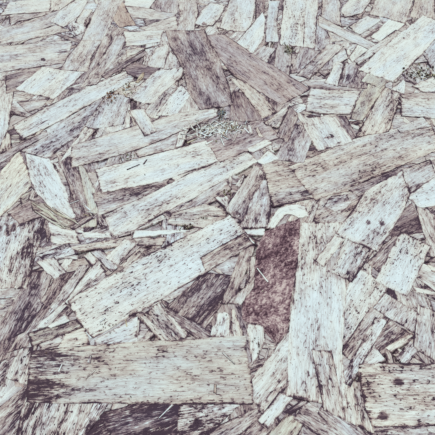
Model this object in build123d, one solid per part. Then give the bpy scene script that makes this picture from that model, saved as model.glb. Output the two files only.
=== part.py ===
from build123d import *
import math
import os
import random

# One full sheet of oriented strand board, lying flat on its underside.
# The origin is under the middle of the sheet: +X runs along its length,
# the way most of its face strands lie, and +Z is up through its thickness.
# All sizes are in millimetres.

# Sheet as sold
sheet_length = 2440.0
sheet_width = 1220.0
sheet_thickness = 18.0

# Handling and weather round off what the saw left sharp
corner_radius = 2.5
arris_radius = 0.6

# Sawn edges cut through the mat of strands. Where a strand stops short, the
# next one bridges its end and leaves a thin wedge-shaped void.
strand_thickness = 0.8
face_layer = 3.2          # pressed tight on each face, so no void reaches it
void_spacing = 46.0       # mean distance between voids along an edge
edge_margin = 24.0        # clear of voids at each corner
void_length = 13.0        # mean, along the edge
void_depth = 7.0          # mean, into the sheet
void_height = 1.5         # mean, at the stopped strand's end
void_spread = 0.45        # share by which each void differs from the mean
void_skew = 18.0          # degrees that a strand crosses the sawn edge at
lay_seed = 11


def sheet_blank():
    """The pressed and sawn sheet, with its corners and arrises worn."""
    outline = RectangleRounded(sheet_length, sheet_width, corner_radius)
    blank = extrude(outline, sheet_thickness)
    faces = blank.faces().sort_by(Axis.Z)
    rims = faces[0].edges() + faces[-1].edges()
    return fillet(rims, arris_radius)


def wedge_profile(length, height, leans_left):
    """Section of a void on the sawn edge: the stopped strand's end is the
    upright side, and the bridging strand comes down to a feather."""
    end = -length / 2 if leans_left else length / 2
    brow = end * 0.35
    return make_face(
        Polyline(
            (end, 0),
            (-end, 0),
            (brow, height * 0.7),
            (end, height),
            close=True,
        )
    )


def edge_voids(edge_length, edge_plane, chance):
    """The voids of one sawn edge. The plane's X runs along the edge, its Y up
    through the thickness, and its Z points out of the sheet."""
    run = edge_length - 2 * edge_margin
    count = max(1, round(run / void_spacing))
    step = run / count
    core = sheet_thickness - 2 * face_layer
    voids = []
    for index in range(count):
        def vary(mean):
            return mean * chance.uniform(1 - void_spread, 1 + void_spread)

        length = vary(void_length)
        height = max(strand_thickness, vary(void_height))
        depth = vary(void_depth)
        along = (index + chance.uniform(0.2, 0.8)) * step - run / 2
        low = chance.uniform(0, max(0.0, core - height)) - core / 2
        turn = chance.uniform(-void_skew, void_skew)
        profile = wedge_profile(length, height, chance.random() < 0.5)
        # The cutter starts outside the edge, so that a turned void opens fully
        reach = length * math.sin(math.radians(void_skew)) + strand_thickness
        cutter = extrude(profile, depth + reach)
        cutter = Pos(0, 0, -depth) * cutter
        voids.append(edge_plane * Pos(along, low, 0) * Rot(0, turn, 0) * cutter)
    return voids


def sawn_edges():
    """Each sawn edge's length, with its plane at half the thickness."""
    middle = sheet_thickness / 2
    half_length = sheet_length / 2
    half_width = sheet_width / 2
    up = Vector(0, 0, 1)
    for out, centre, length in (
        (Vector(0, -1, 0), (0, -half_width, middle), sheet_length),
        (Vector(1, 0, 0), (half_length, 0, middle), sheet_width),
        (Vector(0, 1, 0), (0, half_width, middle), sheet_length),
        (Vector(-1, 0, 0), (-half_length, 0, middle), sheet_width),
    ):
        yield length, Plane(origin=centre, x_dir=up.cross(out), z_dir=out)


def osb_panel():
    """The whole sheet as one solid."""
    chance = random.Random(lay_seed)
    voids = []
    for length, plane in sawn_edges():
        voids += edge_voids(length, plane, chance)
    return sheet_blank() - voids


os.makedirs("parts", exist_ok=True)
panel = osb_panel()
export_step(panel.solid(), "parts/osb_panel.step")
print("osb_panel", panel.bounding_box().size, "volume", round(panel.volume))
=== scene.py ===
import bpy
import math
import random
import numpy as np
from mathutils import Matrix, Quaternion, Vector


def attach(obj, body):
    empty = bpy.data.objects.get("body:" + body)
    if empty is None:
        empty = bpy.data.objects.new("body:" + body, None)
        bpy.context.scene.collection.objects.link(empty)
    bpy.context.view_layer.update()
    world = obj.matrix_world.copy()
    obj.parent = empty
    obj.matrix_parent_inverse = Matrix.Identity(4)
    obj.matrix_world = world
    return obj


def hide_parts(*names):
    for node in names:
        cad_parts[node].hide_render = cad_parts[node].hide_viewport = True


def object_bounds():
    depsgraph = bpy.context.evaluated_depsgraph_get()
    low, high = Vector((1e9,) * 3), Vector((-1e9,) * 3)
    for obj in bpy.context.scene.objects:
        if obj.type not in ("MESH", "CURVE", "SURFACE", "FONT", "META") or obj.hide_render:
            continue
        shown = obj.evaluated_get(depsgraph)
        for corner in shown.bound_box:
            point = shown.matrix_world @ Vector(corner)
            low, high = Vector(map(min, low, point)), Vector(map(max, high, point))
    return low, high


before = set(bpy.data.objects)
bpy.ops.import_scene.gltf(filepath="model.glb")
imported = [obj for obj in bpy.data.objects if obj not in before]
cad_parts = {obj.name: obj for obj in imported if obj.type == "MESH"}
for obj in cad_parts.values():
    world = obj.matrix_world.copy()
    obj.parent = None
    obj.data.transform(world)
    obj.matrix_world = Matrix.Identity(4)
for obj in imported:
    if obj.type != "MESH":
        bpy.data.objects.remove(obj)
cadLow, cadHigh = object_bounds()
print("frame loaded", [round(v, 4) for v in cadHigh])

# All sizes below are in millimetres on the sheet, unless a line says otherwise
mm = 0.001
halfLength = cadHigh.x / mm
halfWidth = cadHigh.y / mm
faceHeight = cadHigh.z / mm
draw = np.random.default_rng(41)
dice = random.Random(7)

# Where the photograph was taken from: close over the face, looking down
photoView = {
    "turn": -35.0,          # degrees from the sheet's length to the picture's right
    "pitch": 54.0,          # degrees below the horizontal
    "height": 248.0,        # above the face
    "fieldOfView": 50.0,    # degrees
    "film": 36.0,           # width of the camera's sensor
    "nearest": 10.0,        # the camera sees nothing closer than this
}
turn = math.radians(photoView["turn"])
pictureRight = np.array([math.cos(turn), math.sin(turn)])
pictureAway = np.array([-math.sin(turn), math.cos(turn)])


def onSheet(point):
    # a point given as right and away of the picture's middle, on the sheet
    return pictureRight * point[0] + pictureAway * point[1]


def makeCamera():
    pitch = math.radians(photoView["pitch"])
    back = photoView["height"] / math.tan(pitch)
    place = onSheet((0, -back))
    lens = bpy.data.cameras.new("photo view")
    lens.sensor_width = photoView["film"]
    lens.lens = photoView["film"] / 2 / math.tan(math.radians(photoView["fieldOfView"] / 2))
    lens.clip_start = photoView["nearest"] * mm
    camera = bpy.data.objects.new("photo view", lens)
    bpy.context.scene.collection.objects.link(camera)
    camera.location = (place[0] * mm, place[1] * mm, (faceHeight + photoView["height"]) * mm)
    aim = Vector((0, 0, faceHeight * mm)) - camera.location
    camera.rotation_mode = "QUATERNION"
    camera.rotation_quaternion = aim.to_track_quat("-Z", "Y")
    bpy.context.scene.camera = camera


makeCamera()
print("camera placed")


def linear(shade):
    # a colour as seen, 0 to 255, as the shader needs it: undoes the screen's curve
    found = []
    for part in shade:
        part = part / 255
        found.append(part / 12.92 if part < 0.04045 else ((part + 0.055) / 1.055) ** 2.4)
    return found


# Shader wiring: one class for a socket, one for a material's or a world's nodes
class Wire:
    def __init__(self, recipe, node, outlet):
        self.recipe = recipe
        self.node = node
        self.socket = node.outputs[outlet] if node.outputs else None

    def outlet(self, name):
        return Wire(self.recipe, self.node, name)

    def __add__(self, other):
        return self.recipe.maths("ADD", self, other)

    def __sub__(self, other):
        return self.recipe.maths("SUBTRACT", self, other)

    def __rsub__(self, other):
        return self.recipe.maths("SUBTRACT", other, self)

    def __mul__(self, other):
        return self.recipe.maths("MULTIPLY", self, other)

    def __truediv__(self, other):
        return self.recipe.maths("DIVIDE", self, other)

    __radd__ = __add__
    __rmul__ = __mul__


class Recipe:
    def __init__(self, name, kind="materials"):
        self.made = getattr(bpy.data, kind).new(name)
        self.made.use_nodes = True
        self.tree = self.made.node_tree
        self.tree.nodes.clear()

    def node(self, kind, settings, sockets, outlet=0):
        made = self.tree.nodes.new(kind)
        for name, value in settings.items():
            if name == "stops":
                self.setStops(made.color_ramp, value)
            else:
                setattr(made, name, value)
        for name, value in sockets.items():
            if isinstance(value, Wire):
                self.tree.links.new(value.socket, made.inputs[name])
            else:
                made.inputs[name].default_value = value
        return Wire(self, made, outlet)

    def setStops(self, band, stops):
        while len(band.elements) < len(stops):
            band.elements.new(0.5)
        for element, (place, shade) in zip(band.elements, stops):
            element.position = place
            element.color = colour(shade)

    def maths(self, operation, first, second):
        return self.node("ShaderNodeMath", {"operation": operation}, {0: first, 1: second})

    def ramp(self, value, low, high):
        # 0 below low, 1 above high, eased between
        return self.node("ShaderNodeMapRange", {"interpolation_type": "SMOOTHSTEP"},
                         {"Value": value, "From Min": low, "From Max": high})

    def mix(self, share, first, second, how="MIX"):
        # sockets 6 and 7 and outlet 2 are the ones for colours
        return self.node("ShaderNodeMix", {"data_type": "RGBA", "blend_type": how},
                         {0: share, 6: first, 7: second}, 2)

    def point(self, x, y):
        return self.node("ShaderNodeCombineXYZ", {}, {"X": x, "Y": y})

    def noise(self, where, detail, rough):
        return self.node("ShaderNodeTexNoise", {},
                         {"Vector": where, "Scale": 1.0, "Detail": detail, "Roughness": rough})

    def grainNoise(self, along, across, length, width, detail, rough):
        # drawn out along the grain, and as often below 0 as above it
        return self.noise(self.point(along / length, across / width), detail, rough) - 0.5

    def carried(self, name, outlet="Color"):
        # what each point of a mesh carries with it
        return self.node("ShaderNodeAttribute", {"attribute_name": name}, {}, outlet)

    def measured(self, name):
        # a UV map's two numbers, in millimetres
        pair = self.node("ShaderNodeUVMap", {"uv_map": name}, {})
        pair = self.node("ShaderNodeSeparateXYZ", {}, {"Vector": pair})
        return pair.outlet("X") * 1000, pair.outlet("Y") * 1000

    def stretched(self, where, scale):
        return self.node("ShaderNodeVectorMath", {"operation": "MULTIPLY"}, {0: where, 1: scale})

    def finish(self, face, rough, height, depth, gloss=0.25):
        bump = self.node("ShaderNodeBump", {}, {"Height": height, "Strength": 1.0, "Distance": depth * mm})
        shader = self.node("ShaderNodeBsdfPrincipled", {},
                           {"Base Color": face, "Roughness": rough, "Normal": bump,
                            "Specular IOR Level": gloss})
        self.node("ShaderNodeOutputMaterial", {}, {"Surface": shader})
        return self.made


def colour(shade):
    return (*linear(shade), 1.0)


# Weathered strand, from bleached to black with mould: all that darkens it adds up
strandWood = {
    "weathering": [(0.0, (218, 231, 231)), (0.05, (211, 224, 223)), (0.125, (201, 210, 208)),
                   (0.256, (185, 185, 183)), (0.45, (160, 149, 148)), (0.67, (125, 108, 114)),
                   (0.81, (101, 84, 95)), (1.0, (62, 47, 62))],
    # tints that drift over the face, and one beside the rims
    "cream": (1.020, 1.003, 0.968),
    "bleached": (0.964, 1.008, 1.058),
    "yellowed": (1.035, 0.985, 0.91),
    # how dark each kind of mark is at its darkest
    # a dark line beside a strand's edge, wider at its ends: dirt in the joints and painted shade
    "rim": 0.84,
    "dirtAndShade": 0.18,           # dirt and painted shade in hollows
    "stain": 0.72,
    "speck": 0.85,
    "dash": 0.62,
    "crack": 0.16,
    "scratch": 0.35,        # pale ones, on dark wood
    # noises: size along and across the grain, detail, roughness, strength
    "noises": {
        "streaks": (20, 1.9, 5, 0.74, 14),
        "mottles": (8, 3.8, 6, 0.78, 15),
        "fine": (5, 0.7, 3, 0.7, 12),
        "broad": (42, 13, 3, 0.6, 12),
        "drift": (60, 22, 2, 0.6, 11),
        "dashes": (3.2, 1.05, 1, 0.5, 9.5),
        "specks": (2.5, 1.8, 1, 0.5, 9.5),
        "cracks": (15, 0.45, 1, 0.5, 9.5),
    },
    # from where to where in its noise a mark fades in
    "groupsIn": (-0.1, 1.5),
    "dashIn": (1.46, 1.62),
    "speckIn": (1.58, 1.78),
    "crackIn": (1.2, 1.7),
    "scratchIn": (0.7, 2.0),
    "stainIn": (0.25, 1.15),
    "dirtAndShadeIn": (0.06, 0.85),
    "driftIn": (-1.2, 1.2),
    "rimReach": 0.95,       # dirt and painted shade beside a strand's edge
    "yellowReach": 4.5,
    "relief": 0.35,
}


def makeStrandWood():
    wood = Recipe("weathered strand wood")
    along, across = wood.measured("grain")
    toSide, toEnd = wood.measured("rim")
    tint = wood.carried("tone")
    base = tint.outlet("Alpha")
    marks = wood.carried("marks")
    parts = wood.node("ShaderNodeSeparateColor", {}, {"Color": marks})
    contrast, streaky, stainShare = (parts.outlet(name) for name in ("Red", "Green", "Blue"))
    dirtAndShadeShare = marks.outlet("Alpha")
    speckShare = wood.carried("specks", "Fac")
    streaks, mottles, fine, broad, drift, dashes, specks, cracks = (
        wood.grainNoise(along, across, *size) * strength
        for *size, strength in strandWood["noises"].values())

    texture = (streaks * (streaky * 0.40 + 0.11) + mottles * (0.64 - streaky * 0.37) + fine * 0.54
               + broad * 0.56)
    dark = base * wood.maths("EXPONENT", contrast * texture, 0.0)
    # small dark marks, which come in groups
    groups = wood.ramp(broad * 0.8 + mottles * 0.8, *strandWood["groupsIn"])
    dashed = wood.ramp(dashes + groups * 0.7, *strandWood["dashIn"])
    dashed = dashed * (groups * 0.6 + 0.4) * (speckShare * 0.8 + 0.25)
    pits = wood.ramp(specks + groups * 0.6, *strandWood["speckIn"]) * (groups * 0.4 + 0.6) * speckShare
    cracked = wood.ramp(cracks + streaks * 0.35, *strandWood["crackIn"])
    dark = dark + dashed * strandWood["dash"] + pits * strandWood["speck"] + cracked * strandWood["crack"]
    scratched = wood.ramp(fine * -1, *strandWood["scratchIn"]) * wood.ramp(base, 0.3, 0.9)
    dark = dark - scratched * strandWood["scratch"]
    # stains, and dirt with painted shade at the rims and in the hollows
    mixed = stainShare * 0.9 + streaks * 0.22 + mottles * 0.18 + fine * 0.18
    stain = wood.ramp(mixed, *strandWood["stainIn"]) * wood.ramp(stainShare, 0.02, 0.4)
    dark = dark + stain * strandWood["stain"]
    # dark line beside each edge, wider at the ends: dirt in the joints and painted shade
    rim = wood.maths("MINIMUM", toSide, toEnd * 0.8) + dashes * 0.10 - mottles * 0.24 - broad * 0.24
    rimDirtAndShade = 1 - wood.ramp(rim, 0.0, strandWood["rimReach"])
    rimDirtAndShade = rimDirtAndShade * wood.ramp(mottles * 0.6 + broad * 0.6, -1.6, 1.4)
    # darker in hollows: dirt and painted shade
    dirtAndShade = wood.ramp(dirtAndShadeShare + mottles * 0.14 + fine * 0.08, *strandWood["dirtAndShadeIn"])
    dirtAndShade = dirtAndShade * wood.ramp(dirtAndShadeShare, 0.0, 0.15)
    dark = dark + rimDirtAndShade * strandWood["rim"] + dirtAndShade * strandWood["dirtAndShade"]

    weathered = wood.node("ShaderNodeValToRGB", {"stops": strandWood["weathering"]}, {"Fac": dark})
    cream, bleached, yellowed = ((*strandWood[name], 1.0) for name in ("cream", "bleached", "yellowed"))
    hue = wood.mix(wood.ramp(drift, *strandWood["driftIn"]), cream, bleached)
    nearRim = (1 - wood.ramp(rim + mottles * 0.6, 0.0, strandWood["yellowReach"])) * 0.5
    hue = wood.mix(nearRim, hue, yellowed)
    face = wood.mix(1.0, wood.mix(1.0, weathered, tint, "MULTIPLY"), hue, "MULTIPLY")
    height = streaks * 0.04 + fine * 0.05 - dashed * 0.25 - pits * 0.35
    rough = 0.78 + fine * 0.02 - dirtAndShade * 0.06
    return wood.finish(face, rough, height, strandWood["relief"])


# Bark strip: light and dark mottles, rough all over
barkFinish = {
    "bark": [(0.0, (62, 42, 54)), (0.3, (100, 76, 86)), (0.55, (136, 112, 118)), (0.8, (164, 144, 146)),
             (1.0, (196, 184, 180))],
    # size along and across the strip, detail, roughness
    "flakes": (3.2, 1.6, 5, 0.7),
    "clumps": (15, 8, 3, 0.5),
    "crumbs": (1.1, 0.8, 2, 0.5),
    "relief": 0.8,
}


def makeBarkFace():
    bark = Recipe("strip of bark")
    along, across = bark.measured("grain")
    # darker in hollows and on the strip's sides: dirt and painted shade
    dirtAndShade = bark.carried("marks", "Alpha")
    flakes, clumps, crumbs = (bark.grainNoise(along, across, *barkFinish[name])
                              for name in ("flakes", "clumps", "crumbs"))
    level = flakes * 2.7 + clumps * 2.4 + crumbs * 1.7 + 0.55 - bark.ramp(dirtAndShade, 0.3, 1.0) * 0.3
    face = bark.node("ShaderNodeValToRGB", {"stops": barkFinish["bark"]}, {"Fac": level})
    return bark.finish(face, 0.85 + flakes * 0.2, flakes + crumbs * 0.5, barkFinish["relief"], 0.2)


# Pressed core: what shows at the bottom of deep gaps and behind the edge layers
coreFinish = {
    "deep": (74, 60, 66),
    "wood": (132, 114, 108),
    # noises: repeats to the metre each way, detail, roughness
    "layers": ((18, 18, 1100), 3, 0.6),
    "chips": ((160, 400, 400), 4, 0.6),
    "relief": 0.5,
}


def makeCoreWood():
    core = Recipe("pressed core")
    spot = core.node("ShaderNodeTexCoord", {}, {}, "Object")
    layers, chips = (core.noise(core.stretched(spot, scale), detail, rough)
                     for scale, detail, rough in (coreFinish["layers"], coreFinish["chips"]))
    mixed = layers * 0.55 + chips * 0.45
    face = core.mix(core.ramp(mixed, 0.42, 0.62), colour(coreFinish["deep"]), colour(coreFinish["wood"]))
    return core.finish(face, 0.88 + (chips - 0.5) * 0.15, mixed, coreFinish["relief"], 0.2)


# Bits lying on the sheet: grit and moss crumbs, each in its own colour
bitsFinish = {
    "spread": 0.35,         # of the colour over one crumb
    "grains": 900.0,        # to the metre
    "relief": 0.25,
}


def makeLooseBits():
    bits = Recipe("grit and moss crumbs")
    spot = bits.node("ShaderNodeTexCoord", {}, {}, "Object")
    scaled = bits.node("ShaderNodeVectorMath", {"operation": "SCALE"},
                       {0: spot, "Scale": bitsFinish["grains"]})
    grainy = bits.noise(scaled, 4, 0.65)
    shade = bits.ramp(grainy, 0.35, 0.65) * bitsFinish["spread"] + (1 - bitsFinish["spread"] * 0.6)
    grey = bits.node("ShaderNodeCombineColor", {}, {0: shade, 1: shade, 2: shade})
    face = bits.mix(1.0, bits.carried("tone"), grey, "MULTIPLY")
    return bits.finish(face, 0.8 + (grainy - 0.5) * 0.2, grainy, bitsFinish["relief"])


strandMaterial = makeStrandWood()
barkMaterial = makeBarkFace()
coreMaterial = makeCoreWood()
bitsMaterial = makeLooseBits()
print("materials made")


# Modelling by hand, in code
def nothingSelected():
    # out of edit mode, with everything deselected
    if bpy.context.object and bpy.context.object.mode != "OBJECT":
        bpy.ops.object.mode_set(mode="OBJECT")
    bpy.ops.object.select_all(action="DESELECT")


def pick(mesh, kind, test):
    # in object mode: selects the faces whose middle and normal, or the edges whose ends, pass the test
    for part in (mesh.vertices, mesh.edges, mesh.polygons):
        part.foreach_set("select", [False] * len(part))
    if kind == "faces":
        for polygon in mesh.polygons:
            polygon.select = test(polygon.center, polygon.normal)
    else:
        for line in mesh.edges:
            first, second = (mesh.vertices[i].co for i in line.vertices)
            line.select = test(first, second)


def editMode(kind):
    bpy.ops.object.mode_set(mode="EDIT")
    bpy.ops.mesh.select_mode(type=kind)


class Pattern:
    # a finished little mesh, read so that copies of it can be laid out
    def __init__(self, piece):
        mesh = piece.data
        self.places = np.zeros(len(mesh.vertices) * 3)
        mesh.vertices.foreach_get("co", self.places)
        self.places = self.places.reshape(-1, 3)
        self.corners = np.zeros(len(mesh.loops), int)
        mesh.loops.foreach_get("vertex_index", self.corners)
        self.starts = np.zeros(len(mesh.polygons), int)
        mesh.polygons.foreach_get("loop_start", self.starts)
        bpy.data.objects.remove(piece)
        bpy.data.meshes.remove(mesh)


# One strand: a flat blank, x from 0 to 1 along it, y from -0.5 to 0.5 across,
# z from 0 at the top through the shoulder to -1 at the underside
strandShape = {
    "shoulder": 0.3,
    "thickness": 0.75,
    "thicker": (0.8, 1.25),         # times the thickness, from strand to strand
    "shoulderFlare": 0.12,          # by which the shoulder stands out past the top
    "flare": 0.42,                  # the same for the underside
    "shoulderUpTo": 6.0,            # only strands with cells smaller than this have one
    # a side bends every so many millimetres, by a share of its waviness
    "sideBends": ((16, 1.0), (3, 0.35)),
    # an end is ragged every so many millimetres, by a share of its raggedness
    "endBends": ((8, 1.0), (2, 0.5)),
    "endReach": 7.0,                # how far in from the end that reaches
    "bumpy": 0.035,
    "curl": 0.08,                   # of the sides, up or down
    "liftReach": 11.0,              # how far in from a lifted end
    "uneven": 0.12,                 # in tone, from strand to strand
    "unevenInView": 0.03,
    "shortest": 3.0,
}
strandPatterns = {}


def strandPattern(cellsAlong, cellsAcross, shouldered):
    key = (cellsAlong, cellsAcross, shouldered)
    if key in strandPatterns:
        return strandPatterns[key]
    nothingSelected()
    bpy.ops.mesh.primitive_grid_add(x_subdivisions=cellsAlong, y_subdivisions=cellsAcross, size=1,
                                    location=(0.5, 0, 0))
    bpy.ops.object.transform_apply(location=True, rotation=False, scale=False)
    blank = bpy.context.object
    editMode("FACE")
    bpy.ops.mesh.select_all(action="SELECT")
    drops = [strandShape["shoulder"], 1 - strandShape["shoulder"]] if shouldered else [1]
    for drop in drops:
        bpy.ops.mesh.extrude_region_move(TRANSFORM_OT_translate={"value": (0, 0, -drop)})
    bpy.ops.object.mode_set(mode="OBJECT")
    # the underside needs no cells across: its inner lines along the strand are dissolved
    pick(blank.data, "edges", lambda a, b: a.z < -0.9 and b.z < -0.9 and abs(a.y - b.y) < 1e-4
         and abs(a.y) < 0.499)
    editMode("EDGE")
    if cellsAcross > 1:
        bpy.ops.mesh.dissolve_edges(use_verts=True)
    bpy.ops.mesh.select_all(action="SELECT")
    bpy.ops.mesh.normals_make_consistent(inside=False)
    bpy.ops.object.mode_set(mode="OBJECT")
    made = Pattern(blank)
    made.i = np.rint(made.places[:, 0] * cellsAlong).astype(int)
    made.j = np.rint((made.places[:, 1] + 0.5) * cellsAcross).astype(int)
    made.level = -made.places[:, 2]
    # which way each rim point faces: along the strand, and across it
    made.outAlong = np.where(made.i == 0, -1.0, np.where(made.i == cellsAlong, 1.0, 0.0))
    made.outAcross = np.where(made.j == 0, -1.0, np.where(made.j == cellsAcross, 1.0, 0.0))
    strandPatterns[key] = made
    return made


def smooth(values, steps, axis):
    # running mean, with the ends repeated
    steps = int(steps)
    if steps < 1:
        return values
    pad = [(steps, steps) if n == axis else (0, 0) for n in range(values.ndim)]
    wide = np.pad(values, pad, mode="edge")
    total = np.cumsum(wide, axis=axis)
    total = np.insert(total, 0, 0, axis=axis)
    span = 2 * steps + 1
    count = values.shape[axis]
    upper = np.take(total, np.arange(span, span + count), axis=axis)
    lower = np.take(total, np.arange(0, count), axis=axis)
    return (upper - lower) / span


def blurred(field, radius):
    # three running means each way come close to a soft blur
    for _ in range(3):
        field = smooth(smooth(field, radius, 0), radius, 1)
    return field


def sideAt(points, share):
    # places along a line of points, by their share of its length
    steps = np.hypot(*np.diff(points, axis=0).T)
    reach = np.concatenate([[0], np.cumsum(steps)]) / steps.sum()
    return np.stack([np.interp(share, reach, points[:, n]) for n in (0, 1)], -1)


def holds(outline, place):
    # whether a place lies inside an outline
    inside = False
    for (x, y), (nextX, nextY) in zip(outline, outline[1:] + outline[:1]):
        if (y > place[1]) != (nextY > place[1]):
            inside ^= place[0] < x + (place[1] - y) / (nextY - y) * (nextX - x)
    return inside


def waver(count, knots, amount):
    # a seeded wavy line through a few knots
    knots = max(2, int(knots))
    values = draw.normal(0, amount, knots)
    return np.interp(np.linspace(0, 1, count), np.linspace(0, 1, knots), values)


def strandBlank(left, right, size, ragged, wavy):
    # the top of a strand between its two sides, as a grid of places, with wavy sides and ragged ends
    left, right = np.array(left, float), np.array(right, float)
    ring = np.concatenate([left, right[::-1]])
    turned = np.roll(ring, -1, 0)
    if np.sum(ring[:, 0] * turned[:, 1] - turned[:, 0] * ring[:, 1]) > 0:
        left, right = right, left
    origin = (left[0] + right[0]) / 2
    run = (left[-1] + right[-1]) / 2 - origin
    length = np.hypot(*run)
    if length < strandShape["shortest"]:
        return None
    way = run / length
    side = np.array([-way[1], way[0]])
    outline = np.concatenate([left, right])
    width = max(np.ptp((left - origin) @ side), np.ptp((outline - origin) @ side))
    across = 2 * max(1, round(width / size / 2))
    along = 2 * max(1, round(length / size / 2))
    share = np.linspace(0, 1, along + 1)
    sway = np.linspace(0, 1, across + 1)
    leftLine, rightLine = sideAt(left, share), sideAt(right, share)
    for gap, part in strandShape["sideBends"]:
        leftLine = leftLine + side * waver(along + 1, length / gap, wavy * part)[:, None]
        rightLine = rightLine + side * waver(along + 1, length / gap, wavy * part)[:, None]
    grid = rightLine[:, None] + (leftLine - rightLine)[:, None] * sway[None, :, None]
    tips = [sum(waver(across + 1, width / gap, ragged * part) for gap, part in strandShape["endBends"])
            for _ in range(2)]
    for tip, far in zip(tips, (share * length, (1 - share) * length)):
        pull = np.clip(1 - far / strandShape["endReach"], 0, 1)
        grid = grid + way * (pull[:, None] * tip[None, :])[..., None]
    limit = np.array([halfLength, halfWidth]) - matRules["inset"]
    grid = np.clip(grid, -limit, limit)
    sideGap = np.minimum(sway, 1 - sway)[None, :] * np.hypot(*(leftLine - rightLine).T)[:, None]
    endGap = np.repeat((np.minimum(share, 1 - share) * length)[:, None], across + 1, 1)
    return {"pattern": strandPattern(along, across, size < strandShape["shoulderUpTo"]), "grid": grid,
            "origin": origin, "way": way, "side": side, "length": length, "width": width, "share": share,
            "sway": sway, "along": (grid - origin) @ way, "across": (grid - origin) @ side,
            "sideGap": sideGap, "endGap": endGap}


# The strands in view: the patch that they lie on, and how they are laid
viewRules = {
    "nearSide": -145.0,     # the patch, in millimetres away from the picture's middle
    "farSide": 282.0,
    "halfWidth": 118.0,     # of the patch, at this distance
    "halfWidthAt": -132.0,
    "widening": 0.275,      # of each half, with the distance
    "size": 2.4,            # cells
    "sizeAtSpots": 1.7,     # finer, so that knots and stains come out round
    "ragged": 0.45,
    "wavy": 0.22,
    # how strong the marks are, from the near side to the far side
    "markStrength": ([-130, 60, 270], [1.15, 0.95, 0.62]),
    "bent": 5,              # a side of more points than this is a bend, which the grain follows
    # strands whose start or end stands up, by their place in the list
    "lifted": {91: (0.5, 0.0), 93: (0.0, 0.3)},
}


def halfPatch(away):
    return viewRules["halfWidth"] + (away - viewRules["halfWidthAt"]) * viewRules["widening"]


# The mat of strands on one face, built up strand by strand over a height map
matRules = {
    "clearance": 0.12,      # by which a strand stays above what it covers
    "parted": 0.05,         # the same once pressed
    "coarse": 0.025,        # more over a strand with large cells, whose middle can bulge
    "bladeOver": 0.30,      # of dry grass over what it lies on
    "stiffness": 11.0,      # distance over which a strand bridges what lies under it
    "stiffnessAcross": 5.0,
    "evenOut": 13.0,        # radius over which the press evens out the mat
    "pressed": 0.62,        # share of the loose height that is left
    "proud": 0.16,          # how high a strand stands above the mean
    "spring": 0.20,         # share of the height by which a high pile still stands up, on the face
    "deepest": 1.25,        # the lowest that one lies under it
    "lying": 0.16,          # mean depth of the face under the sheet's nominal face
    "pressLevel": 0.12,     # above the mean height, where the press stops
    "inset": 0.25,          # of the strands from the sheet's rim
    "undersideInset": 0.05,     # the same for the flared undersides of the strands
    "offGround": 0.01,      # of the underside's highest strand
    "sample": 0.7,          # how finely a strand is written to the map
    "reachPerCell": 2.5,    # cell size by this: how far round it a strand looks for what it lies on
    "widestReach": 6,       # the same at most, as for the strands of the bed
    "buried": (0.2, 0.985),     # a strand that lies so deep with this share of it is left out
    "dirtAndShadeSlope": 0.8,       # dirt and painted shade for each millimetre below what is around
    "sideDirtAndShade": (0.45, 0.5),    # dirt and painted shade on a strand's side: at its top, and more of it down to the bottom
    "spotEdge": 1.6,        # how far a knot or stain fades, in half sizes
}
unknown = -99.0             # a height not known yet
noRim = 9.0                 # so far from a strand's edge that its dark outline doesn't reach


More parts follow.
